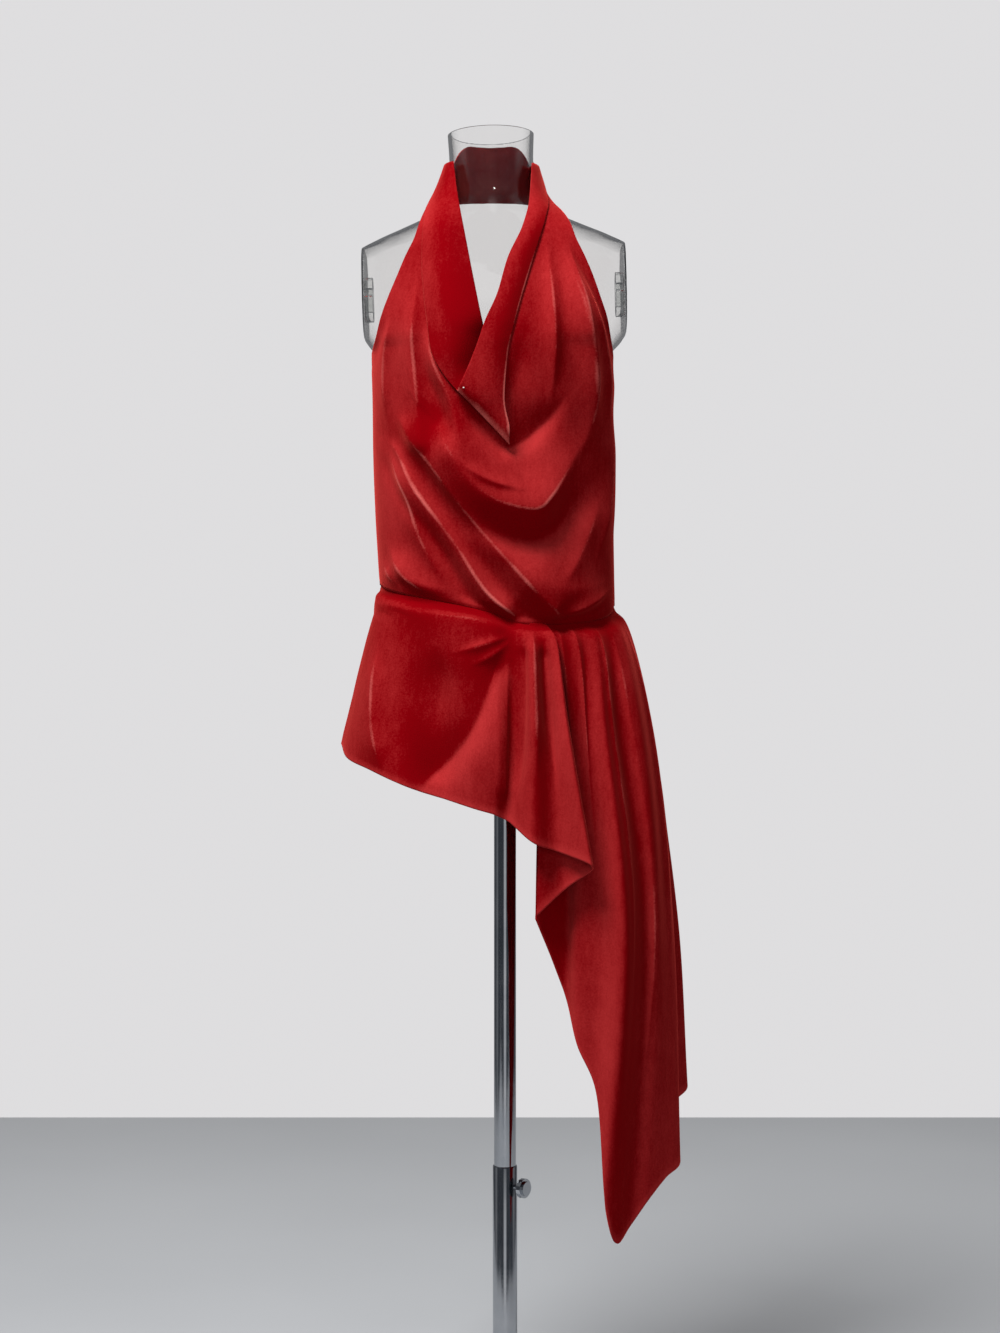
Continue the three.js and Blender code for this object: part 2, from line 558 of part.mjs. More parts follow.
function swagPoint(u, rise) {
  const read = (column) => readTable(swags, "rise", column, rise);
  const low = { x: read("lowX"), z: read("lowZ") };
  const toLeft = u < 0.5;
  const spread = Math.abs(1 - 2 * u);
  const endZ = read(toLeft ? "leftZ" : "rightZ");
  const power = read(toLeft ? "leftPower" : "rightPower");
  const onArmhole = endZ > armpitLevel && endZ < neckLow;
  const side = toLeft ? -1 : 1;
  const endX = onArmhole
    ? readTable(armholeEdges, "z", toLeft ? "left" : "right", endZ)
    : clothAt("centre", endZ) + side * clothAt("half", endZ);
  return {
    x: mix(low.x, endX, Math.sin(spread * 90 * degree)),
    z: mix(low.z, endZ, spread ** power),
  };
}

function makeHalterFront() {
  const geometry = wallFromGrid({
    columns: 44,
    rows: 28,
    wall: clothWall,
    turnedOut: 1,
    closedAcross: false,
    pointAt: (u, v) => {
      const place = swagPoint(u, v);
      const edgeFade = Math.min(1, 14 * u, 14 * (1 - u), 12 * v, 5 * (1 - v));
      return clothInFront(place.x, place.z, foldLift(place.x, place.z) * soft(edgeFade));
    },
  });
  addPiece("halter_front", geometry, velvetRed);
}

function makeCowlBand() {
  const rows = bandSections.map((section, row) => ({ ...section, row }));
  const lastRow = rows.length - 1;
  const geometry = wallFromGrid({
    columns: 42,
    rows: 6,
    wall: clothWall,
    turnedOut: -1,
    closedAcross: false,
    pointAt: (u, v) => {
      const read = (column) => readTable(rows, "row", column, u * lastRow);
      const x = mix(read("firstX"), read("secondX"), v);
      const z = mix(read("firstZ"), read("secondZ"), v);
      const stand = mix(read("standFirst"), read("standSecond"), v)
        + read("crown") * Math.sin(Math.PI * v);
      return clothInFront(x, z, stand + foldLift(x, z));
    },
  });
  addPiece("cowl_band", geometry, velvetRed);
}

function makeNeckBand() {
  const reach = 90.4;
  const geometry = wallFromGrid({
    columns: 20,
    rows: 4,
    wall: clothWall,
    turnedOut: 1,
    closedAcross: false,
    pointAt: (u, v) => {
      const angle = mix(reach, 360 - reach, u) * degree;
      const behind = Math.sin(Math.PI * u) ** 0.5;
      const low = mix(neckLow, bandBackLow, behind);
      const high = mix(neckHigh, bandBackHigh, behind);
      return clothByAngle(angle, mix(low, high, v));
    },
  });
  addPiece("neck_band", geometry, velvetRed);
}

// Height of the waist seam at an angle round the body.
function seamHeight(angle) {
  const left = swags[0].leftZ;
  const right = swags[0].rightZ;
  const across = Math.sin(angle);
  if (Math.cos(angle) < 1e-9) return mix(left, right, (1 + across) / 2);
  const level = (left + right) / 2;
  const x = clothAt("centre", level) + clothAt("half", level) * across;
  const toLeft = x < swags[0].lowX;
  const end = clothAt("centre", level) + (toLeft ? -1 : 1) * clothAt("half", level);
  const share = clamp((x - swags[0].lowX) / (end - swags[0].lowX), 0, 1);
  const spread = Math.asin(share) / (90 * degree);
  const power = toLeft ? swags[0].leftPower : swags[0].rightPower;
  return mix(swags[0].lowZ, toLeft ? left : right, spread ** power);
}

function makeBackBodice() {
  const reach = 90.2;
  const geometry = wallFromGrid({
    columns: 22,
    rows: 9,
    wall: clothWall,
    turnedOut: 1,
    closedAcross: false,
    pointAt: (u, v) => {
      const angle = mix(reach, 360 - reach, u) * degree;
      const scoop = mix(armpitLevel - 6, backScoop, Math.sin(Math.PI * u) ** 0.6);
      return clothByAngle(angle, mix(seamHeight(angle), scoop, v));
    },
  });
  addPiece("back_bodice", geometry, velvetRed);
}

// The pull of the concealed zip in the left side seam, hanging flat against the cloth.
function makeZipPull() {
  const pull = { half: 1.9, tall: 26, thick: 1.4, top: 1352, eye: 0.9 };
  const outline = new THREE.Shape();
  outline.absarc(0, -pull.half, pull.half, 0, Math.PI, false);
  outline.absarc(0, pull.half - pull.tall, pull.half, Math.PI, 2 * Math.PI, false);
  outline.closePath();
  const eye = new THREE.Path();
  eye.absarc(0, -pull.half, pull.eye, 0, 2 * Math.PI, false);
  outline.holes.push(eye);
  const geometry = new THREE.ExtrudeGeometry(outline, {
    depth: pull.thick, bevelEnabled: false, curveSegments: 6,
  });
  geometry.rotateX(Math.PI / 2).rotateZ(Math.PI / 2);
  const seam = clothByAngle(90 * degree, pull.top);
  const mesh = addPiece("side_zip_pull", geometry, chrome);
  mesh.position.set(seam.x + runGap, 0, pull.top);
}

// A skirt line as a curve from just under the waist seam to the hem.
function skirtLine(line) {
  const angle = line.turn * degree;
  const height = seamHeight(angle) - seamGap;
  const top = clothByAngle(angle, height);
  const outward = new THREE.Vector3(top.x - clothAt("centre", height), top.y, 0).normalize();
  const start = top.clone().addScaledVector(outward, line.out);
  const knee = new THREE.Vector3(line.kneeX, line.kneeY, kneeLevel);
  const end = new THREE.Vector3(line.endX, line.endY, line.endZ);
  const puff = start.clone().lerp(knee, puffDrop / (height - kneeLevel))
    .addScaledVector(outward, puffReach);
  const points = [start, puff, knee];
  if (line.lowX !== undefined && line.endZ < lowLevel - 30) {
    points.push(new THREE.Vector3(line.lowX, line.lowY, lowLevel));
  }
  points.push(end);
  return new THREE.CatmullRomCurve3(points, false, "centripetal");
}

function makeSkirtPiece(name, lines, acrossEach, rows) {
  const fall = 1.25; // rows lie closer together near the seam
  const curves = lines.map(skirtLine);
  const levels = [];
  for (let j = 0; j <= rows; j += 1) {
    const places = curves.map((curve) => curve.getPointAt((j / rows) ** fall));
    levels.push(new THREE.CatmullRomCurve3(places, false, "centripetal"));
  }
  const geometry = wallFromGrid({
    columns: (lines.length - 1) * acrossEach,
    rows,
    wall: clothWall,
    turnedOut: -1,
    closedAcross: false,
    pointAt: (u, v) => levels[Math.round(v * rows)].getPoint(u),
  });
  addPiece(name, geometry, velvetRed);
}

makeBasePlate();
makeBaseHub();
makeLowerTube();
makeClampKnob();
makeUpperPole();
makeFormSocket();
makeFormPlate();
makeFormShell();
makeArmFitting("arm_fitting_right", -1);
makeArmFitting("arm_fitting_left", 1);
makeHalterFront();
makeCowlBand();
makeNeckBand();
makeBackBodice();
makeZipPull();
makeSkirtPiece("front_peplum", frontLines, 2, 10);
makeSkirtPiece("side_drape", drapeLines, 2, 16);
makeSkirtPiece("back_peplum", backLines, 2, 10);

export default part;
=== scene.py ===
import bmesh
import bpy
import numpy as np
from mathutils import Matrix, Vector


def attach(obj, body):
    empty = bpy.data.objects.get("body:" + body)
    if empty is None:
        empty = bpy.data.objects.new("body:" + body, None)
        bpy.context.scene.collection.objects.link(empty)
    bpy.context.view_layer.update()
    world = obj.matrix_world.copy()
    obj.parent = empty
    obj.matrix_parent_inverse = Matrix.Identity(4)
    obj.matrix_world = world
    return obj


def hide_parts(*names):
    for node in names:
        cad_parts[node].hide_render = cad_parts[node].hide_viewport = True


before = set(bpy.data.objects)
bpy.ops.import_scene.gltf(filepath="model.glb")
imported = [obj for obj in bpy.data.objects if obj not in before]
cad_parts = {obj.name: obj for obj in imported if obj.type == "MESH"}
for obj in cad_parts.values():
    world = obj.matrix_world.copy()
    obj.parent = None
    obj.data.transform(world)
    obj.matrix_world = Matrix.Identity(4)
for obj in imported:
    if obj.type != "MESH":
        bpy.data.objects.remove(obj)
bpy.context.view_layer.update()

# A velvet halter neck top on a clear dress form with a chrome stand.
# Sizes are in millimetres, as on the cutting table, and turned into metres when a mesh is made.
mm = 0.001

# Camera: straight on, a little above the middle, the height of a tripod.
photoView = {"x": -6.75, "distance": 2970, "height": 1080, "focalPixels": 2200, "picturePixels": 1333}


def makeCamera(view):
    data = bpy.data.cameras.new("photoCamera")
    data.sensor_width = 36
    data.lens = 36 * view["focalPixels"] / view["picturePixels"]  # the long side is the height
    data.clip_end = 50
    camera = bpy.data.objects.new("photoCamera", data)
    camera.location = (view["x"] * mm, -view["distance"] * mm, view["height"] * mm)
    camera.rotation_euler = (np.pi / 2, 0, 0)
    bpy.context.scene.collection.objects.link(camera)
    bpy.context.scene.camera = camera


makeCamera(photoView)
print("camera placed")


# One level section: half its width, its depths to the front and back, how square its oval is (2 is a
# plain ellipse), and how far its middle lies to one side.
def section(z, half, front, back, square, centre=0):
    return {"z": z, "half": half, "front": front, "back": back, "square": square, "centre": centre}


# Sections of the clear form, from its foot to the rim of the neck.
formSections = [
    section(1036, 148, 96, 98, 2.2),
    section(1090, 149, 98, 100, 2.2),
    section(1150, 144, 96, 96, 2.2),
    section(1220, 132, 92, 86, 2.15),
    section(1290, 117, 88, 76, 2.1),
    section(1380, 133, 104, 84, 2.1),
    section(1440, 145, 121, 90, 2.15),
    section(1470, 148, 123, 92, 2.15),
    section(1495, 153, 121, 94, 2.2),
    section(1515, 170, 117, 96, 2.25),
    section(1540, 184, 112, 98, 2.3),
    section(1580, 191, 103, 99, 2.4),
    section(1620, 192, 91, 96, 2.5),
    section(1640, 184, 84, 91, 2.5),
    section(1654, 160, 79, 86, 2.4),
    section(1668, 128, 75, 81, 2.25),
    section(1682, 97, 70, 75, 2.1),
    section(1695, 74, 65, 68, 2.05),
    section(1708, 61, 60, 61, 2),
    section(1725, 57, 57, 57, 2),
    section(1760, 56.5, 56.5, 56.5, 2),
    section(1797, 58, 58, 58, 2),
]

# Sections of the cloth where it hangs smooth round the form.
clothSections = [
    section(1130, 158, 108, 106, 2.2, -9),
    section(1170, 158, 110, 105, 2.2, -10),
    section(1220, 159, 114, 101, 2.2, -12),
    section(1290, 160.5, 121, 96, 2.2, -14.5),
    section(1380, 162, 130, 95, 2.2, -16),
    section(1440, 162, 136, 98, 2.25, -16.5),
    section(1494, 163, 137, 101, 2.4, -17),
    section(1515, 172, 135, 103, 2.5, -16.5),
    section(1540, 182, 130, 105, 2.5, -16),
    section(1580, 189, 119, 106, 2.5, -16),
    section(1625, 191, 105, 102, 2.5, -16),
    section(1650, 176, 97, 96, 2.4, -16),
    section(1668, 140, 90, 90, 2.25, -16),
    section(1685, 108, 83, 82, 2.1, -17),
    section(1700, 88, 76, 74, 2, -17.5),
    section(1714, 77, 71, 65, 2, -17.8),
    section(1730, 69.5, 67, 60, 2, -18),
    section(1745, 64.5, 64, 59.6, 2, -18.3),
    section(1757, 61.5, 62, 59.6, 2, -18.5),
    section(1790, 59.6, 59.6, 59.6, 2, -19.2),
]

# Outer edges of the front from the armpit to the neck.
armholeEdges = [
    {"z": 1494, "left": -180, "right": 146},
    {"z": 1511, "left": -171, "right": 140},
    {"z": 1537, "left": -163, "right": 134},
    {"z": 1563, "left": -153, "right": 125},
    {"z": 1589, "left": -142, "right": 116},
    {"z": 1616, "left": -131, "right": 105},
    {"z": 1642, "left": -119, "right": 93},
    {"z": 1668, "left": -112, "right": 85},
    {"z": 1686, "left": -107, "right": 77},
    {"z": 1705, "left": -101.5, "right": 66.5},
]

# Hanging lines of the front, from the waist seam (rise 0) to the hidden edge of the cowl (rise 1).
swags = [
    {"rise": 0, "left": 1190, "low": [13, 1134], "right": 1162, "powers": [0.6, 2.6]},
    {"rise": 0.14, "left": 1275, "low": [10, 1172], "right": 1250, "powers": [0.9, 2.3]},
    {"rise": 0.32, "left": 1385, "low": [5, 1235], "right": 1370, "powers": [1.3, 2]},
    {"rise": 0.5, "left": 1494, "low": [0, 1300], "right": 1488, "powers": [1.5, 1.7]},
    {"rise": 0.7, "left": 1595, "low": [-8, 1356], "right": 1592, "powers": [1.3, 1.35]},
    {"rise": 0.88, "left": 1705, "low": [-14, 1398], "right": 1705, "powers": [1.05, 1.1]},
    {"rise": 1, "left": 1757, "low": [-17, 1417], "right": 1757, "powers": [0.92, 0.92]},
]

cloth = {"wall": 1.5, "seamGap": 0.5, "armpit": 1494, "neckLow": 1705, "neckHigh": 1757,
         "bandBackLow": 1718, "bandBackHigh": 1793, "backScoop": 1330, "knee": 1000, "low": 740,
         "puffReach": 7, "puffDrop": 17, "tuckRise": 2.5, "tuckDepth": 2.2}
# Painted light on the velvet: the width of the painted highlight on crests, how strongly it follows the
# folds' lean up and across, its cap, and its middle value on each piece.
paintedShadeLook = {"highlightWidth": 2.3, "up": 0.75, "across": -0.35, "most": 0.7, "bodice": 0.30, "band": 0.12,
            "peplum": 0.19, "drape": 0.18}
formSize = {"foot": 1036, "wall": 3, "lean": 1.3, "leanStart": 110, "offset": -2, "armFace": 176,
            "lip": 1.6}


# Reads a column of a table between its rows: a cubic whose slope at each row is the harmonic mean
# of the slopes on both sides, so it never overshoots. Part picks one number where a column holds two.
def readTable(table, key, name, at, part=None):
    places = np.array([row[key] for row in table], float)
    values = np.array([row[name] if part is None else row[name][part] for row in table], float)
    at = np.clip(np.asarray(at, float), places[0], places[-1])
    rate = np.diff(values) / np.diff(places)
    slope = np.concatenate([rate[:1], np.zeros(len(rate) - 1), rate[-1:]])
    before, after = rate[:-1], rate[1:]
    sameWay = before * after > 0
    slope[1:-1] = np.where(sameWay, 2 * before * after / np.where(sameWay, before + after, 1), 0)
    row = np.clip(np.searchsorted(places, at, side="right") - 1, 0, len(places) - 2)
    span = places[row + 1] - places[row]
    t = (at - places[row]) / span
    smooth = (3 - 2 * t) * t * t
    rise = values[row + 1] - values[row]
    return (values[row] + rise * smooth + slope[row] * span * t * (1 - t) ** 2
            - slope[row + 1] * span * t * t * (1 - t))


# A soft step from 0 to 1: three times the square of t, less twice its cube.
def soft(t):
    t = np.clip(t, 0, 1)
    return t * t * (3 - 2 * t)


# A smooth curve through points in turn: cubic pieces whose tangents weigh each step by the square
# root of its length. Works on one curve (n, 3) or on many side by side (n, k, 3).
def throughPoints(points, at):
    points = np.asarray(points, float)
    count = len(points)
    ends = np.concatenate([2 * points[:1] - points[1:2], points, 2 * points[-1:] - points[-2:-1]])
    step = np.maximum(np.linalg.norm(np.diff(ends, axis=0), axis=-1, keepdims=True) ** 0.5, 1e-4)
    place = np.clip(at, 0, 1) * (count - 1)
    piece = np.minimum(place.astype(int), count - 2)
    w = (place - piece).reshape((-1,) + (1,) * (points.ndim - 1))
    p0, p1, p2, p3 = (ends[piece + k] for k in range(4))
    d0, d1, d2 = (step[piece + k] for k in range(3))
    leave = ((p1 - p0) / d0 - (p2 - p0) / (d0 + d1) + (p2 - p1) / d1) * d1
    arrive = ((p2 - p1) / d1 - (p3 - p1) / (d1 + d2) + (p3 - p2) / d2) * d1
    w2, w3 = w * w, w * w * w
    return ((2 * w3 - 3 * w2 + 1) * p1 + (w3 - 2 * w2 + w) * leave
            + (3 * w2 - 2 * w3) * p2 + (w3 - w2) * arrive)


# The same curve read at even steps of its length.
def evenAlong(points, steps):
    dense = throughPoints(points, np.linspace(0, 1, 400))
    length = np.concatenate([[0], np.cumsum(np.linalg.norm(np.diff(dense, axis=0), axis=1))])
    at = np.linspace(0, length[-1], steps + 1)
    return np.stack([np.interp(at, length, dense[:, k]) for k in range(3)], axis=1)


# Unit normals of a grid of points: the cross product of its differences across and along.
def gridNormals(grid, turnedOut, closedAcross=False):
    if closedAcross:
        across = np.roll(grid, -1, axis=0) - np.roll(grid, 1, axis=0)
    else:
        across = np.gradient(grid, axis=0)
    along = np.gradient(grid, axis=1)
    normal = np.cross(across, along) * turnedOut
    return normal / np.maximum(np.linalg.norm(normal, axis=2, keepdims=True), 1e-9)


# Joins an outer grid and its inner copy, one wall thickness along the normals, into a closed mesh.
def wallMesh(name, outer, wall, turnedOut, closedAcross=False, fields=None):
    inner = outer - gridNormals(outer, turnedOut, closedAcross) * np.asarray(wall)
    lines, rows = outer.shape[:2]
    index = np.arange(lines * rows).reshape(lines, rows)
    far = index + lines * rows
    nextIndex = np.roll(index, -1, axis=0)
    nextFar = np.roll(far, -1, axis=0)
    if not closedAcross:
        index0, far0, index1, far1 = index[:-1], far[:-1], nextIndex[:-1], nextFar[:-1]
    else:
        index0, far0, index1, far1 = index, far, nextIndex, nextFar
    quads = [
        np.stack([index0[:, :-1], index1[:, :-1], index1[:, 1:], index0[:, 1:]], -1).reshape(-1, 4),
        np.stack([far0[:, :-1], far0[:, 1:], far1[:, 1:], far1[:, :-1]], -1).reshape(-1, 4),
        np.stack([index0[:, 0], far0[:, 0], far1[:, 0], index1[:, 0]], -1),
        np.stack([index0[:, -1], index1[:, -1], far1[:, -1], far0[:, -1]], -1),
    ]
    if not closedAcross:
        quads.append(np.stack([index[0, :-1], index[0, 1:], far[0, 1:], far[0, :-1]], -1))
        quads.append(np.stack([index[-1, :-1], far[-1, :-1], far[-1, 1:], index[-1, 1:]], -1))
    faces = np.concatenate(quads)
    if turnedOut < 0:
        faces = faces[:, ::-1]
    points = np.concatenate([outer.reshape(-1, 3), inner.reshape(-1, 3)]) * mm
    return meshObject(name, points, faces, fields, copies=2)


# A mesh of four-sided faces, with a value at each point for every field that a material reads.
def meshObject(name, points, faces, fields=None, copies=1):
    mesh = bpy.data.meshes.new(name)
    count = len(faces)
    mesh.vertices.add(len(points))
    mesh.vertices.foreach_set("co", points.astype(np.float32).ravel())
    mesh.loops.add(count * 4)
    mesh.loops.foreach_set("vertex_index", faces.astype(np.int32).ravel())
    mesh.polygons.add(count)
    mesh.polygons.foreach_set("loop_start", np.arange(0, count * 4, 4, dtype=np.int32))
    mesh.polygons.foreach_set("use_smooth", np.ones(count, bool))
    for field, values in (fields or {}).items():
        attribute = mesh.attributes.new(field, "FLOAT", "POINT")
        attribute.data.foreach_set("value", np.tile(values.ravel(), copies).astype(np.float32))
    mesh.update(calc_edges=True)
    mesh.validate()
    piece = bpy.data.objects.new(name, mesh)
    bpy.context.scene.collection.objects.link(piece)
    return piece


# A turned piece: a half outline of radius and height carried round the Z axis.
def turnedPiece(name, outline, segments=128, sharpAngle=25):
    angle = np.linspace(0, 2 * np.pi, segments, endpoint=False)[:, None]
    radius, height = np.array(outline, float).T
    grid = np.stack([radius * np.cos(angle), radius * np.sin(angle), height + 0 * angle], -1)
    rows = len(outline)
    index = np.arange(segments * rows).reshape(segments, rows)
    nextIndex = np.roll(index, -1, axis=0)
    faces = np.stack([index[:, :-1], nextIndex[:, :-1], nextIndex[:, 1:], index[:, 1:]], -1)
    piece = meshObject(name, grid.reshape(-1, 3) * mm, faces.reshape(-1, 4))
    tidyTurned(piece, sharpAngle)
    return piece


# Merges the doubled points on the axis and marks the hard edges.
def tidyTurned(piece, sharpAngle):
    work = bmesh.new()
    work.from_mesh(piece.data)
    bmesh.ops.remove_doubles(work, verts=work.verts, dist=1e-6)
    bmesh.ops.recalc_face_normals(work, faces=work.faces)
    work.to_mesh(piece.data)
    work.free()
    piece.data.set_sharp_from_angle(angle=np.radians(sharpAngle))


# A socket in a material's tree. Arithmetic on it adds Math nodes.
class Shade:
    def __init__(self, tree, socket=None):
        self.tree = tree
        self.socket = socket

    def node(self, kind, settings=None, sockets=None, out=0):
        made = self.tree.nodes.new(kind)
        for key, value in (settings or {}).items():
            if key == "stops":
                ramp = made.color_ramp
                ramp.elements[0].position, ramp.elements[0].color = value[0]
                ramp.elements[1].position, ramp.elements[1].color = value[-1]
                for place, colour in value[1:-1]:
                    ramp.elements.new(place).color = colour
            else:
                setattr(made, key, value)
        for key, value in (sockets or {}).items():
            if isinstance(value, Shade):
                self.tree.links.new(value.socket, made.inputs[key])
            else:
                made.inputs[key].default_value = value
        return Shade(self.tree, made.outputs[out])

    def sum(self, operation, *values):
        return self.node("ShaderNodeMath", {"operation": operation}, dict(enumerate(values)))

    def __add__(self, other):
        return self.sum("ADD", self, other)

    def __radd__(self, other):
        return self.sum("ADD", other, self)

    def __sub__(self, other):
        return self.sum("SUBTRACT", self, other)

    def __rsub__(self, other):
        return self.sum("SUBTRACT", other, self)

    def __mul__(self, other):
        return self.sum("MULTIPLY", self, other)

    def __rmul__(self, other):
        return self.sum("MULTIPLY", other, self)

    def noise(self, place, scale, detail=2, roughness=0.5):
        return self.node("ShaderNodeTexNoise", None,
                         {"Vector": place, "Scale": scale, "Detail": detail, "Roughness": roughness})

    def stretch(self, place, scale):
        return self.node("ShaderNodeMapping", None, {"Vector": place, "Scale": scale})

    def blend(self, share, first, second):
        return self.node("ShaderNodeMix", {"data_type": "RGBA"}, {0: share, 6: first, 7: second}, out=2)

    def ramp(self, value, low, high):
        return self.node("ShaderNodeMapRange", {"clamp": True},
                         {"Value": value, "From Min": low, "From Max": high})

    def bump(self, height, strength, distance):
        return self.node("ShaderNodeBump", None,
                         {"Height": height, "Strength": strength, "Distance": distance})


def startMaterial(name):
    material = bpy.data.materials.new(name)
    material.use_nodes = True
    material.node_tree.nodes.clear()
    return material, Shade(material.node_tree)


def finishMaterial(shade, sockets):
    surface = shade.node("ShaderNodeBsdfPrincipled", None, sockets)
    output = shade.tree.nodes.new("ShaderNodeOutputMaterial")
    shade.tree.links.new(surface.socket, output.inputs["Surface"])


# Velvet colours: a shaded red and a lit red that painted light and shade mix, a pale red painted as
# highlights along the crests, and the sizes of the pile's own patches, streaks and tufts.
velvetLook = {"shadedRed": (0.155, 0.0002, 0.002, 1), "lit": (0.325, 0.02, 0.021, 1),
              "crestHighlight": (0.62, 0.14, 0.125, 1), "rough": 0.6, "sheen": 0.36, "sheenRough": 0.38,
              "sheenTint": (1.0, 0.11, 0.09, 1), "patch": 9, "streak": 160, "tuft": 420}


# Short pile: painted shade and painted light by how each fold faces the lamp, painted highlights along the
# crests, and large hand-brushed patches, streaks along the hang and the speckle of single tufts.
def velvetMaterial(name, look):
    material, shade = startMaterial(name)
    place = shade.node("ShaderNodeTexCoord", out="Object")
    brushed = shade.noise(place, look["patch"], 4, 0.6)
    streaks = shade.noise(shade.stretch(place, (1, 1, 0.3)), look["streak"], 3, 0.6)
    tufts = shade.noise(place, look["tuft"], 3, 0.65)
    nap, crest, edge = (shade.node("ShaderNodeAttribute", {"attribute_name": field}, out="Fac")
                        for field in ("nap", "crest", "hem"))
    lightAndTone = nap + (brushed - 0.5) * 0.5 + (streaks - 0.5) * 0.3 + (tufts - 0.5) * 0.55
    # Painted light and shade mix the shaded and lit reds, and painted highlights lie along the crests.
    colour = shade.blend(shade.ramp(lightAndTone, 0.12, 0.75), look["shadedRed"], look["lit"])
    glint = crest * shade.ramp(brushed, 0.3, 0.62) + (tufts - 0.5) * 0.5
    colour = shade.blend(shade.ramp(glint, 0.2, 1.4), colour, look["crestHighlight"])
    colour = shade.blend(edge * 0.2, colour, look["lit"])
    rough = look["rough"] + (streaks - 0.5) * 0.16 + edge * 0.06
    normal = shade.bump(tufts * 0.8 + streaks * 0.3, 0.35, 0.0008)
    finishMaterial(shade, {
        "Base Color": colour, "Roughness": rough, "Normal": normal, "Specular IOR Level": 0.0,
        "Sheen Weight": look["sheen"], "Sheen Roughness": look["sheenRough"],
        "Sheen Tint": look["sheenTint"],
    })
    return material


# Pale sewing thread, a little uneven.
def threadMaterial(name):
    material, shade = startMaterial(name)
    place = shade.node("ShaderNodeTexCoord", out="Object")
    colour = shade.blend(shade.noise(place, 2500), (0.5, 0.36, 0.34, 1), (0.86, 0.8, 0.77, 1))
    finishMaterial(shade, {"Base Color": colour, "Roughness": 0.6})
    return material


# Clear acrylic: seen through flat it is almost colourless, and seen along its wall it is grey.
def clearMaterial(name, tint, along, rough):
    material, shade = startMaterial(name)
    place = shade.node("ShaderNodeTexCoord", out="Object")
    smear = shade.noise(place, 9, 3, 0.6)
    scratch = shade.noise(shade.stretch(place, (1, 1, 14)), 60, 2, 0.5)
    facing = shade.node("ShaderNodeLayerWeight", None, {"Blend": 0.5}, out="Facing")
    colour = shade.blend(shade.ramp(facing, 0.55, 0.95), tint, along)
    finishMaterial(shade, {
        "Base Color": colour, "Roughness": rough + shade.ramp(smear, 0.5, 0.8) * 0.035,
        "Normal": shade.bump(scratch, 0.02, 0.0004), "IOR": 1.49, "Transmission Weight": 1.0,
    })
    return material


chromeLook = {"dark": (0.40, 0.42, 0.45, 1), "bright": (0.52, 0.53, 0.55, 1), "rough": 0.07}


# Plated steel with faint smears, and fine lines drawn along the tube.
def chromeMaterial(name, look):
    material, shade = startMaterial(name)
    place = shade.node("ShaderNodeTexCoord", out="Object")
    smear = shade.noise(place, 24, 4, 0.6)
    drawn = shade.noise(shade.stretch(place, (1, 1, 0.05)), 900, 2, 0.5)
    colour = shade.blend(shade.ramp(smear, 0.35, 0.75), look["dark"], look["bright"])
    finishMaterial(shade, {
        "Base Color": colour, "Metallic": 1.0, "Roughness": look["rough"] + smear * 0.09,
        "Normal": shade.bump(drawn, 0.03, 0.0003),
    })
    return material


# Matt studio floor, faintly clouded.
def floorMaterial(name):
    material, shade = startMaterial(name)
    place = shade.node("ShaderNodeTexCoord", out="Object")
    cloudy = shade.noise(place, 1.6, 3, 0.5)
    colour = shade.blend(cloudy, (0.37, 0.38, 0.395, 1), (0.41, 0.42, 0.435, 1))
    finishMaterial(shade, {"Base Color": colour, "Roughness": 0.42 + cloudy * 0.1})
    return material


velvet = velvetMaterial("redVelvet", velvetLook)
clear = clearMaterial("clearAcrylic", (0.996, 0.990, 0.982, 1), (0.24, 0.235, 0.228, 1), 0.008)
clearThick = clearMaterial("clearFittings", (0.80, 0.81, 0.80, 1), (0.10, 0.10, 0.098, 1), 0.05)
chrome = chromeMaterial("brightChrome", chromeLook)
zipMetal = chromeMaterial("zipMetal", chromeLook)


# Gives a piece its material, its moving body and the nodes that it stands for.
def finishPiece(piece, material, body, slot, *nodes):
    piece.data.materials.append(material)
    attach(piece, body)
    if nodes:
        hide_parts(*nodes)


print("materials ready")


# A point on the clear form: an oval section, its ends cut flat where an arm would go, leaning sideways.
def formGrid(angle, height):
    half, front, back, square = (
        readTable(formSections, "z", name, height) for name in ("half", "front", "back", "square"))
    across, ahead = np.sin(angle), np.cos(angle)
    reach = (np.abs(across) ** square + np.abs(ahead) ** square) ** (-1 / square)
    x = np.clip(half * across * reach, -formSize["armFace"], formSize["armFace"])
    y = -np.where(ahead > 0, front, back) * ahead * reach
    rise = height - formSize["foot"]
    lean = np.radians(formSize["lean"])
    tilt = x * np.sin(lean) * soft(rise / formSize["leanStart"])
    return np.stack([formSize["offset"] + x - rise * np.tan(lean), y, height + tilt], -1)


formRows = [{"low": 1036, "high": 1480, "rows": 60}, {"low": 1484, "high": 1715, "rows": 90},
            {"low": 1719, "high": 1797, "rows": 26}]  # closest together round the shoulders


# The form: rings of that oval, its wall thicker at the rim of the neck.
def makeClearForm():
    height = np.concatenate([np.linspace(part["low"], part["high"], part["rows"]) for part in formRows])
    angle = np.linspace(0, 2 * np.pi, 240, endpoint=False)[:, None]
    grid = formGrid(angle + 0 * height, height + 0 * angle)
    wall = formSize["wall"] + formSize["lip"] * soft((height - 1695) / 40)[None, :, None]
    form = wallMesh("clearForm", grid, wall, 1, closedAcross=True)
    form.data.set_sharp_from_angle(angle=np.radians(38))
    finishPiece(form, clear, "form", "form_clear", "form_shell")


makeClearForm()
print("clear form made")


# Cloth on the front by place across and height: an oval section read at that distance across.
def frontGrid(x, height, out):
    half, front, centre, square = (
        readTable(clothSections, "z", name, height) for name in ("half", "front", "centre", "square"))
    share = np.clip((x - centre) / half, -1, 1)
    depth = (1 - np.abs(share) ** square) ** (1 / square)
    return np.stack([centre + share * (half + out), -(front + out) * depth, height + 0 * x], -1)


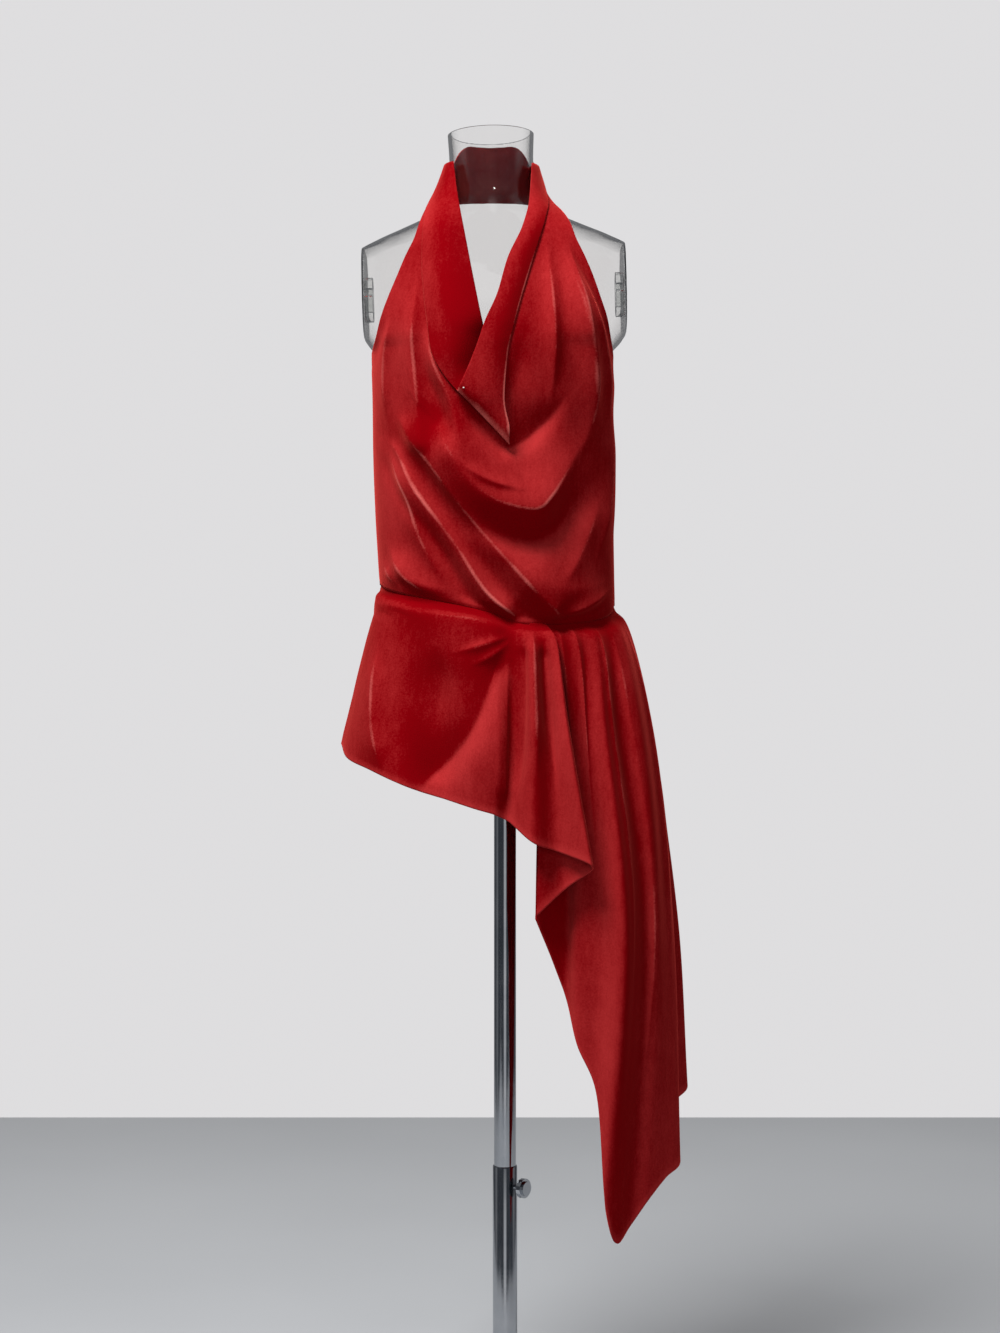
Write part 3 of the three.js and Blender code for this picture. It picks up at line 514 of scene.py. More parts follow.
# The same sections read all the way round, by the angle from the front.
def ringGrid(angle, height):
    half, front, back, centre, square = (
        readTable(clothSections, "z", name, height)
        for name in ("half", "front", "back", "centre", "square"))
    across, ahead = np.sin(angle), np.cos(angle)
    reach = (np.abs(across) ** square + np.abs(ahead) ** square) ** (-1 / square)
    y = -np.where(ahead > 0, front, back) * ahead * reach
    return np.stack([centre + half * across * reach, y, height + 0 * angle], -1)


# How far a table of folds lifts a place, and how near it is to a crest line, as a painted highlight along
# the crests. Each fold is a crest that falls off by its own width on each side of its line (upper is the
# side to the left of its run), with a trough of its own depth beyond the under side. Towards its two ends
# it gets lower and narrower.
def foldLift(x, z, folds, glint=1):
    total = np.zeros(np.broadcast(x, z).shape)
    crest = np.zeros(total.shape)
    for fold in folds.values():
        line = throughPoints(np.array([[px, pz, 0] for px, pz in fold["line"]], float),
                             np.linspace(0, 1, 40))[:, :2]
        nearest = np.full(total.shape, 1e9)
        side = np.zeros(total.shape)
        fadeSum = np.zeros(total.shape)
        nearness = np.full(total.shape, 1e-12)
        for k in range(len(line) - 1):
            run = line[k + 1] - line[k]
            share = np.clip(((x - line[k, 0]) * run[0] + (z - line[k, 1]) * run[1]) / (run @ run), 0, 1)
            dx, dz = x - line[k, 0] - share * run[0], z - line[k, 1] - share * run[1]
            distance = np.hypot(dx, dz)
            side = np.where(distance < nearest, run[0] * dz - run[1] * dx, side)
            nearest = np.minimum(nearest, distance)
            along = (k + share) / (len(line) - 1)
            fade = soft(along / fold.get("start", 0.35)) * soft((1 - along) / fold.get("end", 0.35))
            weight = np.exp(-distance / 6)  # neighbouring stretches share what lies between them
            fadeSum += weight * fade
            nearness += weight
        fade = fadeSum / nearness
        wide = np.where(side > 0, fold["upper"], fold["under"]) * (0.4 + 0.6 * fade)
        total += fold["lift"] * fade * np.exp(-(nearest / wide) ** fold.get("crest", 1.45))
        beyond = np.where(side > 0, 9, (nearest / fold["under"] - 1.8) / 0.8)
        total -= fold.get("hollow", 0) * fade * np.exp(-beyond ** 2)
        # A painted highlight along the crest of each fold that stands out.
        if fold["lift"] > 0:
            bright = fold.get("glint", glint) * fade * np.exp(-(nearest / paintedShadeLook["highlightWidth"]) ** 2)
            crest = np.maximum(crest, bright)
    return total, crest


# Painted light and shade, from 0 where a fold turns down or to the right, away from the lamp, to 1 where it
# turns up to the light: a middle value, plus shares of how far the folded grid's normals lean up and across
# from the smooth one.
def slopeShading(grid, smooth, turnedOut, middle):
    lean = gridNormals(grid, turnedOut) - gridNormals(smooth, turnedOut)
    return middle + paintedShadeLook["up"] * lean[..., 2] + paintedShadeLook["across"] * lean[..., 0]


# Folds of the front, each a line of x and z with its lift and its width above and under the crest.
frontFolds = {
    "pouch": {"lift": 23, "upper": 58, "under": 22, "start": 0.2, "end": 0.4, "crest": 1.6,
     "hollow": 7, "line": [[-90, 1397], [-78, 1382], [-59, 1348], [-38, 1317], [-18, 1298], [8, 1287],
                           [36, 1284], [52, 1300], [68, 1322], [91, 1358], [115, 1396]]},
    "leftArm": {"glint": 0.8, "lift": 11, "upper": 34, "under": 11, "start": 0.4, "end": 0.3, "crest": 1.6,
     "hollow": 3, "line": [[-101, 1530], [-96, 1495], [-85, 1462], [-69, 1427], [-56, 1386], [-49, 1352]]},
    "pouchRight": {"glint": 0.5, "lift": 9, "upper": 14, "under": 18, "line": [
        [96, 1350], [111, 1400], [112, 1451], [101, 1516], [84, 1594], [68, 1652]]},
    "leftLine": {"lift": 8, "upper": 9, "under": 16, "end": 0.12, "glint": 0.6, "line": [
        [-113, 1592], [-118, 1516], [-114, 1460], [-104, 1388], [-94, 1350]]},
    "long": {"lift": 17, "upper": 32, "under": 16, "start": 0.28, "end": 0.08, "hollow": 5, "line": [
        [-144, 1415], [-123, 1386], [-95, 1348], [-46, 1276], [-3, 1223], [37, 1174], [75, 1138]]},
    "second": {"lift": 14, "upper": 22, "under": 13, "start": 0.35, "end": 0.1, "hollow": 4, "line": [
        [-158, 1381], [-138, 1359], [-105, 1301], [-61, 1237], [-21, 1174], [19, 1140]]},
    "third": {"lift": 9, "upper": 16, "under": 13, "end": 0.5, "line": [
        [-157, 1376], [-141, 1335], [-125, 1301], [-114, 1262], [-95, 1218], [-68, 1180]]},
    "fourth": {"lift": 9, "upper": 18, "under": 10, "end": 0.25, "line": [
        [-154, 1241], [-135, 1206], [-105, 1178], [-74, 1164]]},
    "fifth": {"lift": 4, "upper": 10, "under": 7, "line": [[-160, 1215], [-150, 1196], [-138, 1182]]},
    "neckFold": {"glint": 0.6, "lift": 8, "upper": 10, "under": 12, "line": [
        [53, 1651], [59, 1568], [62, 1497], [61, 1420]]},
    "neckFold2": {"glint": 0.8, "lift": 9, "upper": 11, "under": 12, "line": [
        [81, 1640], [97, 1555], [107, 1464], [115, 1399]]},
    "neckFold3": {"glint": 0.6, "lift": 8, "upper": 10, "under": 11, "line": [
        [98, 1592], [119, 1519], [132, 1458], [137, 1393]]},
    "leftSide": {"glint": 0.5, "lift": 5, "upper": 8, "under": 12, "line": [
        [-150, 1540], [-157, 1470], [-156, 1399]]},
    "innerSwag": {"lift": -9, "upper": 26, "under": 12, "start": 0.25, "end": 0.3, "line": [
        [-68, 1440], [-48, 1409], [-27, 1384], [0, 1363], [24, 1371], [45, 1388], [66, 1410], [84, 1440]]},
    "pouchCrease": {"lift": 3.5, "upper": 12, "under": 5, "glint": 0.4, "line": [
        [-51, 1340], [-20, 1319], [16, 1308]]},
    "belly": {"lift": 8, "upper": 50, "under": 26, "crest": 2, "glint": 0.25, "line": [
        [0, 1232], [45, 1192], [95, 1182], [135, 1200]]},
    "rightLow": {"lift": 6, "upper": 18, "under": 14, "glint": 0.4, "line": [
        [128, 1310], [100, 1238], [71, 1185]]},
    "rightSide": {"glint": 0.4, "lift": 6, "upper": 14, "under": 9, "line": [
        [139, 1440], [141, 1360], [134, 1280], [118, 1215]]},
    "hipRoll": {"lift": 7, "upper": 14, "under": 6, "glint": 0.5, "line": [
        [64, 1143], [100, 1156], [142, 1182]]},
}

# Where the left half of the band dips behind the right half.
bandFolds = {
    "hollow": {"lift": -13, "upper": 12, "under": 18, "line": [
        [-20, 1545], [-34, 1500], [-46, 1466], [-58, 1436]]},
}


# Cloth that hangs between its two edges: each line drops to its lowest point by a power of the
# distance from it, and the folds then lift it out of the smooth section.
def swagPlace(u, rise):
    toLeft = u < 0.5
    spread = np.abs(1 - 2 * u)
    read = lambda name, part=None: readTable(swags, "rise", name, rise, part)
    endZ = np.where(toLeft, read("left"), read("right"))
    power = np.where(toLeft, read("powers", 0), read("powers", 1))
    centre = readTable(clothSections, "z", "centre", endZ)
    half = readTable(clothSections, "z", "half", endZ)
    edge = np.where(toLeft, readTable(armholeEdges, "z", "left", endZ),
                    readTable(armholeEdges, "z", "right", endZ))
    onArmhole = (endZ > cloth["armpit"]) & (endZ < cloth["neckLow"])
    endX = np.where(onArmhole, edge, centre + np.where(toLeft, -half, half))
    lowX, lowZ = read("low", 0), read("low", 1)
    return (lowX + (endX - lowX) * np.sin(spread * np.pi / 2), lowZ + (endZ - lowZ) * spread ** power)


# The neckline turns up by lifts at heights towards the flap over it. Three folds start in a painted shadow.
frontPanel = {"across": 241, "up": 161, "flat": (0.52, 0.74), "area": 0.21,
              "turnHeights": [1355, 1372, 1385, 1424, 1480, 1538, 1606],
              "turnLifts": [0, 5, 10, 9.5, 5.5, 2.8, 0.8],
              "shadow": {"x": -96, "z": 1388, "wide": 46, "high": 28, "depth": 0.5},
              "litLeftSide": 0.14, "shadedRightSide": 0.1}


# The front panel: u runs from side seam to side seam, v from the waist to the cowl's hidden edge.
def makeHalterFront(panel):
    u, v = np.meshgrid(np.linspace(0, 1, panel["across"]), np.linspace(0, 1, panel["up"]), indexing="ij")
    x, z = swagPlace(u, v)
    edgeFade = soft(np.minimum.reduce([np.ones_like(u), 14 * u, 14 * (1 - u), 20 * v, 5 * (1 - v)]))
    lift, crest = foldLift(x, z, frontFolds)
    dip, _ = foldLift(x, z, bandFolds)
    turned = np.interp(z, panel["turnHeights"], panel["turnLifts"])
    turned = turned * soft((v - 0.86) / 0.12) * soft((u - 0.5) * 20)
    lift = lift * edgeFade + dip * soft((0.5 - u) * 20) + turned
    grid = frontGrid(x, z, lift - 1.4 * soft(1 - v * 60))
    # Painted light and shade from the lean of the folds, painted light on the left side and painted shade
    # on the right, less a painted shadow where three folds start.
    nap = slopeShading(grid, frontGrid(x, z, 0 * x), 1, paintedShadeLook["bodice"])
    nap = nap + panel["litLeftSide"] * soft((-110 - x) / 40) - panel["shadedRightSide"] * soft((x - 95) / 40)
    dark = panel["shadow"]
    shadow = dark["depth"] * np.exp(-((x - dark["x"]) / dark["wide"]) ** 2
                                    - ((z - dark["z"]) / dark["high"]) ** 2)
    nap = np.clip(np.clip(nap, 0, paintedShadeLook["most"]) - shadow, 0, paintedShadeLook["most"])
    piece = wallMesh("halterFront", grid, cloth["wall"], 1,
                     fields={"hem": 0 * u, "nap": nap, "crest": crest * edgeFade})
    finishPiece(piece, velvet, "form", "velvet", "halter_front")


makeHalterFront(frontPanel)
print("halter front made")

# The folded band of the cowl, a row for each section across it.
bandSections = [
    {"first": [-78, 1752], "second": [-66, 1752], "stand": [2.6, 3], "crown": 1},
    {"first": [-104, 1676], "second": [-58, 1682], "stand": [2.6, 4], "crown": 7},
    {"first": [-107, 1613], "second": [-46, 1611], "stand": [2.6, 5], "crown": 9},
    {"first": [-103, 1556], "second": [-35, 1552], "stand": [2.6, 5], "crown": 10},
    {"first": [-92, 1491], "second": [-25, 1499], "stand": [2.6, 4], "crown": 9},
    {"first": [-75, 1456], "second": [-13, 1434], "stand": [2.6, 3], "crown": 5},
    {"first": [-61, 1437], "second": [-1, 1374], "stand": [4, 4], "crown": 2},
    {"first": [-57, 1434], "second": [4, 1366], "stand": [10, 10], "crown": 0.5},
    {"first": [-52, 1444], "second": [4, 1385], "stand": [16, 15], "crown": 1.5},
    {"first": [-36, 1488], "second": [-2, 1424], "stand": [18, 13], "crown": 3},
    {"first": [-25, 1524], "second": [2, 1480], "stand": [18, 9], "crown": 3},
    {"first": [-11, 1560], "second": [15, 1538], "stand": [16, 6], "crown": 3},
    {"first": [2, 1610], "second": [34, 1606], "stand": [13, 4], "crown": 3},
    {"first": [21, 1656], "second": [51, 1668], "stand": [8, 4], "crown": 2},
    {"first": [29, 1692], "second": [55, 1698], "stand": [5, 3.4], "crown": 2},
    {"first": [34, 1752], "second": [45, 1752], "stand": [3, 2.6], "crown": 1},
]
tackRow = 7.8  # the place of the thread tack along that table


# The tack is a small ball of thread half sunk in the band: angle round it and angle up it.
def makeTack(place):
    size = {"across": 1.2, "along": 0.9, "proud": 0.4}
    turn, up = np.meshgrid(np.linspace(0, 2 * np.pi, 17)[:-1], np.linspace(-1.4, 1.4, 8), indexing="ij")
    points = np.stack([size["across"] * np.cos(up) * np.cos(turn),
                       size["along"] * np.cos(up) * np.sin(turn),
                       size["along"] * np.sin(up)], axis=-1) + place + [0, -size["proud"], 0]
    index = np.arange(16 * 8).reshape(16, 8)
    after = np.roll(index, -1, axis=0)
    sides = np.stack([index[:, :-1], after[:, :-1], after[:, 1:], index[:, 1:]], axis=-1).reshape(-1, 4)
    cap = np.array([[k, k + 1, 14 - k, 15 - k] for k in range(7)])
    faces = np.concatenate([sides, index[:, 0][cap[:, ::-1]], index[:, -1][cap]])
    tack = meshObject("threadTack", points.reshape(-1, 3) * mm, faces)
    finishPiece(tack, threadMaterial("tackThread"), "form", "velvet")


# The band: straight sections read along the table, crowned by half a sine across. Painted light makes it
# light along the outer edge and on the roll where it folds over, and painted shade makes it dark where it
# dips behind.
def makeCowlBand():
    table = [dict(row, row=k) for k, row in enumerate(bandSections)]
    u, v = np.meshgrid(np.linspace(0, len(table) - 1, 281), np.linspace(0, 1, 41), indexing="ij")
    read = lambda name, part=None: readTable(table, "row", name, u, part)
    x = read("first", 0) + (read("second", 0) - read("first", 0)) * v
    z = read("first", 1) + (read("second", 1) - read("first", 1)) * v
    stand = (read("stand", 0) + (read("stand", 1) - read("stand", 0)) * v
             + read("crown") * np.sin(np.pi * v))
    behind = soft((6.4 - u) * 2)
    lift, _ = foldLift(x, z, frontFolds)
    dip, _ = foldLift(x, z, bandFolds)
    grid = frontGrid(x, z, stand + lift + dip * behind)
    # Painted light along the outer edge and the roll, painted shade where it dips behind and low on its
    # inner part, and painted highlights on the roll and the right flap's outer edge.
    nap = slopeShading(grid, frontGrid(x, z, 0 * x), -1, paintedShadeLook["band"])
    roll = np.exp(-((u - 7.1) / 0.5) ** 2)
    outer = np.exp(-((v - 0.08) / 0.32) ** 2) * (0.3 + 0.7 * soft((z - 1480) / 110))
    nap = nap + 0.34 * outer * soft((6.2 - u) * 2) + 0.14 * soft(u - 7) + 0.2 * roll + 0.04 * dip * behind
    nap = nap - 0.3 * soft((v - 0.25) / 0.4) * soft((6.6 - u) * 2) * soft((1620 - z) / 80)
    crest = np.maximum(1.3 * roll, 1.1 * soft((v - 0.9) * 12) * soft((u - 7.4) * 2) * soft((13 - u) / 2))
    piece = wallMesh("cowlBand", grid, cloth["wall"], -1,
                     fields={"hem": 0 * u, "nap": np.clip(nap, 0, paintedShadeLook["most"]), "crest": crest})
    finishPiece(piece, velvet, "form", "velvet", "cowl_band")
    makeTack(grid[int(round(280 * tackRow / (len(table) - 1))), 3])


makeCowlBand()


# Neck band: the back half of the ring, its two edges rising to the middle of the neck.
def makeNeckBand():
    first = 90.4  # degrees from the front, just behind the end of the front panel
    u, v = np.meshgrid(np.linspace(0, 1, 161), np.linspace(0, 1, 31), indexing="ij")
    angle = np.radians(first + (360 - 2 * first) * u)
    low = cloth["neckLow"] + (cloth["bandBackLow"] - cloth["neckLow"]) * np.sin(np.pi * u) ** 0.7
    behind = soft(u / 0.34) * soft((1 - u) / 0.34)
    high = cloth["neckHigh"] + (cloth["bandBackHigh"] - cloth["neckHigh"]) * behind
    grid = ringGrid(angle, low + (high - low) * v)
    hem = np.maximum(soft(1 - v * 9), soft(1 - (1 - v) * 9))
    # Painted light and a painted highlight over the whole band, which the clear form in front of it leaves
    # in shade.
    piece = wallMesh("neckBand", grid, cloth["wall"], 1,
                     fields={"hem": hem, "nap": 0.8 + 0 * u, "crest": 0.9 + 0 * u})
    finishPiece(piece, velvet, "form", "velvet", "neck_band")


makeNeckBand()
print("cowl and neck band made")


# Height of the waist seam by the angle from the front: the lowest hanging line in front, and a straight
# slope from side to side behind.
def seamHeight(angle):
    seam = swags[0]
    lowX, lowZ = seam["low"]
    across = np.sin(angle)
    behind = seam["left"] + (seam["right"] - seam["left"]) * (1 + across) / 2
    level = (seam["left"] + seam["right"]) / 2
    centre = readTable(clothSections, "z", "centre", level)
    half = readTable(clothSections, "z", "half", level)
    x = centre + half * across
    toLeft = x < lowX
    end = centre + np.where(toLeft, -half, half)
    share = np.clip((x - lowX) / (end - lowX), 0, 1)
    power = np.where(toLeft, seam["powers"][0], seam["powers"][1])
    endZ = np.where(toLeft, seam["left"], seam["right"])
    inFront = lowZ + (endZ - lowZ) * (np.arcsin(share) / (np.pi / 2)) ** power
    return np.where(np.cos(angle) < 1e-9, behind, inFront)


# Back: the ring behind the side seams, up to a scooped edge; soft horizontal sags at the waist.
def makeBackBodice():
    first = 90.2  # degrees from the front, just behind the side seam
    u, v = np.meshgrid(np.linspace(0, 1, 201), np.linspace(0, 1, 91), indexing="ij")
    angle = np.radians(first + (360 - 2 * first) * u)
    scoop = cloth["armpit"] - 6 + (cloth["backScoop"] - cloth["armpit"] + 6) * np.sin(np.pi * u) ** 0.6
    seam = seamHeight(angle)
    grid = ringGrid(angle, seam + (scoop - seam) * v)
    lift, crest = foldLift(grid[..., 0], grid[..., 2], backFolds)
    edgeFade = soft(12 * u) * soft(12 * (1 - u)) * soft(14 * v) * soft(8 * (1 - v))
    smooth = grid
    grid = grid + gridNormals(grid, 1) * (lift * edgeFade)[..., None]
    # Painted light and shade from the lean of the sags, and painted highlights on their crests.
    piece = wallMesh("backBodice", grid, cloth["wall"], 1,
                     fields={"hem": soft(1 - (1 - v) * 22), "crest": crest * edgeFade,
                             "nap": np.clip(slopeShading(grid, smooth, 1, paintedShadeLook["peplum"]), 0, 1)})
    finishPiece(piece, velvet, "form", "velvet", "back_bodice")


backFolds = {
    "sagHigh": {"lift": 5, "upper": 16, "under": 9, "line": [
        [-150, 1330], [-80, 1292], [-10, 1282], [70, 1296], [138, 1330]]},
    "sagMiddle": {"lift": 6, "upper": 15, "under": 9, "line": [
        [-152, 1290], [-60, 1244], [30, 1236], [140, 1268]]},
    "sagLow": {"lift": 5, "upper": 13, "under": 8, "line": [
        [-130, 1236], [-40, 1204], [60, 1200], [120, 1212]]},
}
makeBackBodice()
print("back bodice made")

# Lines of the skirt from the waist seam to the hem: turn is the angle at the seam.
frontLines = [
    {"turn": -90, "out": 0, "knee": [-219, 4], "end": [-223, 6, 976]},
    {"turn": -78, "out": 1, "knee": [-205, -48], "end": [-209, -52, 958]},
    {"turn": -67, "out": 1, "knee": [-180, -88], "end": [-177, -98, 945]},
    {"turn": -54, "out": 1, "knee": [-140, -112], "end": [-136, -128, 928]},
    {"turn": -38, "out": 0, "knee": [-92, -117], "end": [-80, -126, 909]},
    {"turn": -20, "out": 2, "knee": [-48, -140], "end": [-38, -140, 896]},
    {"turn": -4, "out": 4, "knee": [-10, -142], "end": [-14, -140, 889]},
    {"turn": 6, "out": 3, "knee": [8, -129], "end": [2, -130, 881]},
    {"turn": 12, "out": 9, "knee": [36, -151], "end": [36, -158, 854]},
    {"turn": 18, "out": 8, "knee": [58, -140], "end": [65, -146, 843]},
    {"turn": 23, "out": 10, "knee": [80, -150], "end": [110, -165, 826]},
    {"turn": 23, "out": 5, "knee": [82, -138], "end": [112, -150, 819]},
    {"turn": 19, "out": 3.5, "knee": [64, -126], "end": [79, -136, 794]},
    {"turn": 15, "out": 3, "knee": [45, -120], "end": [41, -124, 757]},
]
drapeLines = [
    {"turn": 16.2, "out": 1.5, "knee": [43, -117], "low": [40, -121], "end": [40, -121, 753]},
    {"turn": 20, "out": 0, "knee": [58, -108], "low": [58, -106], "end": [61, -104, 700]},
    {"turn": 25, "out": 0, "knee": [76, -103], "low": [80, -100], "end": [80, -97, 644]},
    {"turn": 31, "out": 0, "knee": [93, -111], "low": [94, -116], "end": [93, -116, 589]},
    {"turn": 38, "out": 1, "knee": [108, -110], "low": [122, -124], "end": [116, -122, 535]},
    {"turn": 45, "out": 3, "knee": [130, -117], "low": [156, -140], "end": [131, -128, 372]},
    {"turn": 50, "out": 1, "knee": [139, -102], "low": [169, -116], "end": [146, -112, 330]},
    {"turn": 56, "out": 0, "knee": [152, -84], "low": [183, -92], "end": [164, -92, 348]},
    {"turn": 65, "out": 3, "knee": [178, -74], "low": [201, -82], "end": [188, -82, 379]},
    {"turn": 76, "out": 1, "knee": [190, -38], "low": [214, -56], "end": [213, -60, 404]},
    {"turn": 85, "out": 2, "knee": [198, -14], "low": [225, -28], "end": [234, -34, 418]},
    {"turn": 93, "out": 0, "knee": [192, 8], "low": [219, 0], "end": [225, -2, 455]},
    {"turn": 101, "out": 1, "knee": [193, 27], "low": [224, 22], "end": [231, 22, 487]},
    {"turn": 111, "out": 2, "knee": [197, 54], "low": [237, 50], "end": [251, 50, 505]},
    {"turn": 122, "out": 0, "knee": [172, 84], "low": [208, 82], "end": [221, 82, 556]},
    {"turn": 134, "out": 2, "knee": [148, 118], "low": [178, 120], "end": [184, 121, 640]},
    {"turn": 146, "out": 0, "knee": [106, 118], "low": [112, 118], "end": [122, 119, 735]},
]
backLines = [
    {"turn": 147.5, "out": 0, "knee": [101, 118.5], "end": [114, 120, 748]},
    {"turn": 158, "out": 2, "knee": [66, 139], "end": [72, 142, 812]},
    {"turn": 170, "out": 0, "knee": [20, 126], "end": [20, 130, 858]},
    {"turn": 182, "out": 3, "knee": [-24, 149], "end": [-26, 154, 890]},
    {"turn": 196, "out": 0, "knee": [-66, 128], "end": [-68, 132, 912]},
    {"turn": 211, "out": 3, "knee": [-118, 138], "end": [-122, 142, 932]},
    {"turn": 228, "out": 0, "knee": [-158, 102], "end": [-160, 106, 948]},
    {"turn": 247, "out": 2, "knee": [-204, 70], "end": [-208, 74, 964]},
    {"turn": 269.2, "out": 0, "knee": [-219, 6], "end": [-223, 8, 976]},
]


# A skirt line: out of the seam, over a soft roll just under it, past the knee point to the hem.
def skirtLine(line, steps):
    angle = np.radians(line["turn"])
    height = float(seamHeight(angle)) - cloth["seamGap"]
    top = ringGrid(angle, height)
    outward = np.array([top[0] - readTable(clothSections, "z", "centre", height), top[1], 0])
    outward /= np.linalg.norm(outward)
    start = top + outward * line["out"]
    knee = np.array([*line["knee"], cloth["knee"]])
    share = cloth["puffDrop"] / (height - cloth["knee"])
    tucked = top + np.array([0, 0, cloth["tuckRise"]]) - outward * cloth["tuckDepth"]
    points = [tucked, start + outward * 0.3 - np.array([0, 0, 6]),
              start + (knee - start) * share + outward * cloth["puffReach"], knee]
    if "low" in line and line["end"][2] < cloth["low"] - 30:
        points.append([*line["low"], cloth["low"]])
    points.append(line["end"])
    return evenAlong(points, steps)


# The skirt is drawn in a little below the seam on the wearer's right, by pulls at heights.
waistPull = {"heights": [960, 1041, 1112, 1151, 1171, 1185], "pulls": [0, 6, 9, 11, 6, 0]}


def drawnIn(points):
    pull = np.interp(points[..., 2], waistPull["heights"], waistPull["pulls"])
    moved = points.copy()
    moved[..., 0] += pull * soft((-points[..., 0] - 120) / 40)
    return moved


# Painted light on the front peplum: from the slanting fold to a line above the pole.
slantLight = {"heights": [905, 922, 964, 1001, 1078, 1104], "edge": [-132, -111, -70, -41, -9, 2],
              "rightEdge": 18, "top": 1098, "nap": 0.32}


def paintedSlantLight(x, z):
    inside = x - np.interp(z, slantLight["heights"], slantLight["edge"])
    return (slantLight["nap"] * soft((inside + 6) / 14) * soft((slantLight["rightEdge"] - x) / 16)
            * soft((slantLight["top"] - z) / 40))


# A skirt piece: every line is read at even steps, a smooth curve runs across each step, and the
# folds lift the grid along its normals. The hem is turned up, so it is a little thicker. Painted light and
# shade follow the folds, a painted shadow darkens it just under the seam, and it is lighter at the hem and
# low down.
def makeSkirtPiece(name, panel):
    across, along = panel["grid"]
    strands = drawnIn(np.stack([skirtLine(line, along) for line in panel["lines"]]))
    grid = throughPoints(strands, np.linspace(0, 1, across + 1))
    u, v = np.meshgrid(np.linspace(0, 1, across + 1), np.linspace(0, 1, along + 1), indexing="ij")
    foldX = u * panel["round"] if "round" in panel else grid[..., 0]
    lift, crest = foldLift(foldX, grid[..., 2], panel["folds"], panel["glint"])
    sides = soft(12 * u) * soft(12 * (1 - u)) if "round" in panel else soft((panel["foldsEnd"] - u) * 30)
    fade = sides * soft(30 * v)
    grid = grid + gridNormals(grid, -1) * (lift * fade)[..., None]
    length = np.linalg.norm(np.diff(strands, axis=1), axis=2).sum(1).mean()
    hem = soft(1 - (1 - v) * length / 14)
    # Painted shadow just under the seam, where the bodice hangs over it.
    seamShadow = np.exp(-((v * length - 7) / 7) ** 2)
    few = np.unique(np.append(np.arange(0, len(strands), 4), len(strands) - 1))
    smooth = throughPoints(strands[few], np.interp(np.linspace(0, len(strands) - 1, across + 1), few,
                                                   np.linspace(0, 1, len(few))))
    nap = slopeShading(grid, smooth, -1, panel["middle"]) - 0.4 * seamShadow + 0.25 * hem
    nap = nap + 0.1 * soft((800 - grid[..., 2]) / 250)
    if panel["slanted"]:
        nap = nap + paintedSlantLight(grid[..., 0], grid[..., 2])
    nap = np.clip(nap, 0, paintedShadeLook["most"])
    wall = cloth["wall"] + 0.5 * hem[..., None]
    piece = wallMesh(name, grid, wall, -1, fields={"hem": hem, "nap": nap, "crest": crest * fade})
    finishPiece(piece, velvet, "form", "velvet", panel["node"])


peplumFolds = {
    "seamRoll": {"lift": 2.5, "upper": 6, "under": 16, "start": 0.1, "end": 0.1, "glint": 0.35, "line": [
        [-161, 1163], [-111, 1150], [-45, 1141], [4, 1128]]},
    "trough": {"lift": -7, "upper": 26, "under": 30, "start": 0.4, "end": 0.5, "line": [
        [-90, 1112], [-88, 1050], [-94, 985]]},
    "slant": {"lift": -10, "upper": 20, "under": 36, "start": 0.25, "end": 0.15, "line": [
        [-2, 1100], [-14, 1070], [-44, 1001], [-73, 962], [-113, 922]]},
    "filled": {"lift": 5, "upper": 9, "under": 9, "start": 0.15, "end": 0.1, "glint": 0, "line": [
        [4, 1090], [0, 1000], [-3, 905]]},
    "creaseA": {"lift": -6, "upper": 7, "under": 12, "start": 0.1, "end": 0.3, "line": [
        [24, 1110], [21, 1019], [15, 900]]},
    "crestB": {"glint": 0.6, "lift": 5, "upper": 8, "under": 8, "start": 0.2, "line": [
        [36, 1124], [38, 1050], [41, 930]]},
    "creaseC": {"lift": -8, "upper": 6, "under": 7, "start": 0.1, "end": 0.5, "line": [
        [50, 1110], [56, 1019], [68, 905]]},
    "gather": {"glint": 0.4, "lift": 4, "upper": 6, "under": 7, "start": 0.3, "end": 0.5, "line": [
        [2, 1118], [-32, 1106], [-65, 1098]]},
    "gatherSmall": {"glint": 0.3, "lift": 3, "upper": 5, "under": 6, "start": 0.3, "end": 0.4, "line": [
        [2, 1108], [-20, 1092], [-39, 1084]]},
    "leftRidge": {"lift": 6, "upper": 10, "under": 16, "end": 0.2, "glint": 0.6, "line": [
        [-168, 1110], [-172, 1058], [-172, 1001], [-160, 941]]},
}
# Folds of the drape and the back, each a line of z and of place round the piece, from 0 to its "round".
drapeFolds = {
    "pleatA": {"lift": 5, "upper": 8, "under": 6, "start": 0.1, "end": 0.6, "line": [
        [52, 1130], [56, 1040], [60, 930]]},
    "pleatB": {"lift": 6, "upper": 9, "under": 6, "start": 0.1, "end": 0.5, "line": [
        [76, 1136], [80, 1060], [84, 960], [88, 800]]},
    "pleatC": {"lift": 4, "upper": 8, "under": 6, "start": 0.15, "end": 0.5, "line": [
        [126, 1140], [130, 1000], [128, 820], [124, 640]]},
    "pleatD": {"lift": 5, "upper": 10, "under": 8, "start": 0.2, "end": 0.3, "line": [
        [160, 1145], [166, 980], [168, 760], [160, 520]]},
    "pleatE": {"lift": 4, "upper": 9, "under": 8, "start": 0.2, "end": 0.4, "line": [
        [198, 1150], [204, 980], [206, 820], [204, 600]]},
    "pleatF": {"lift": 5, "upper": 10, "under": 8, "start": 0.2, "end": 0.4, "line": [
        [240, 1150], [248, 960], [250, 760], [246, 560]]},
    "pleatG": {"lift": 5, "upper": 9, "under": 8, "start": 0.2, "end": 0.4, "line": [
        [284, 1150], [290, 960], [294, 800]]},
    "pleatH": {"lift": 4, "upper": 9, "under": 8, "start": 0.2, "end": 0.4, "line": [
        [322, 1150], [326, 1000], [330, 860]]},
}
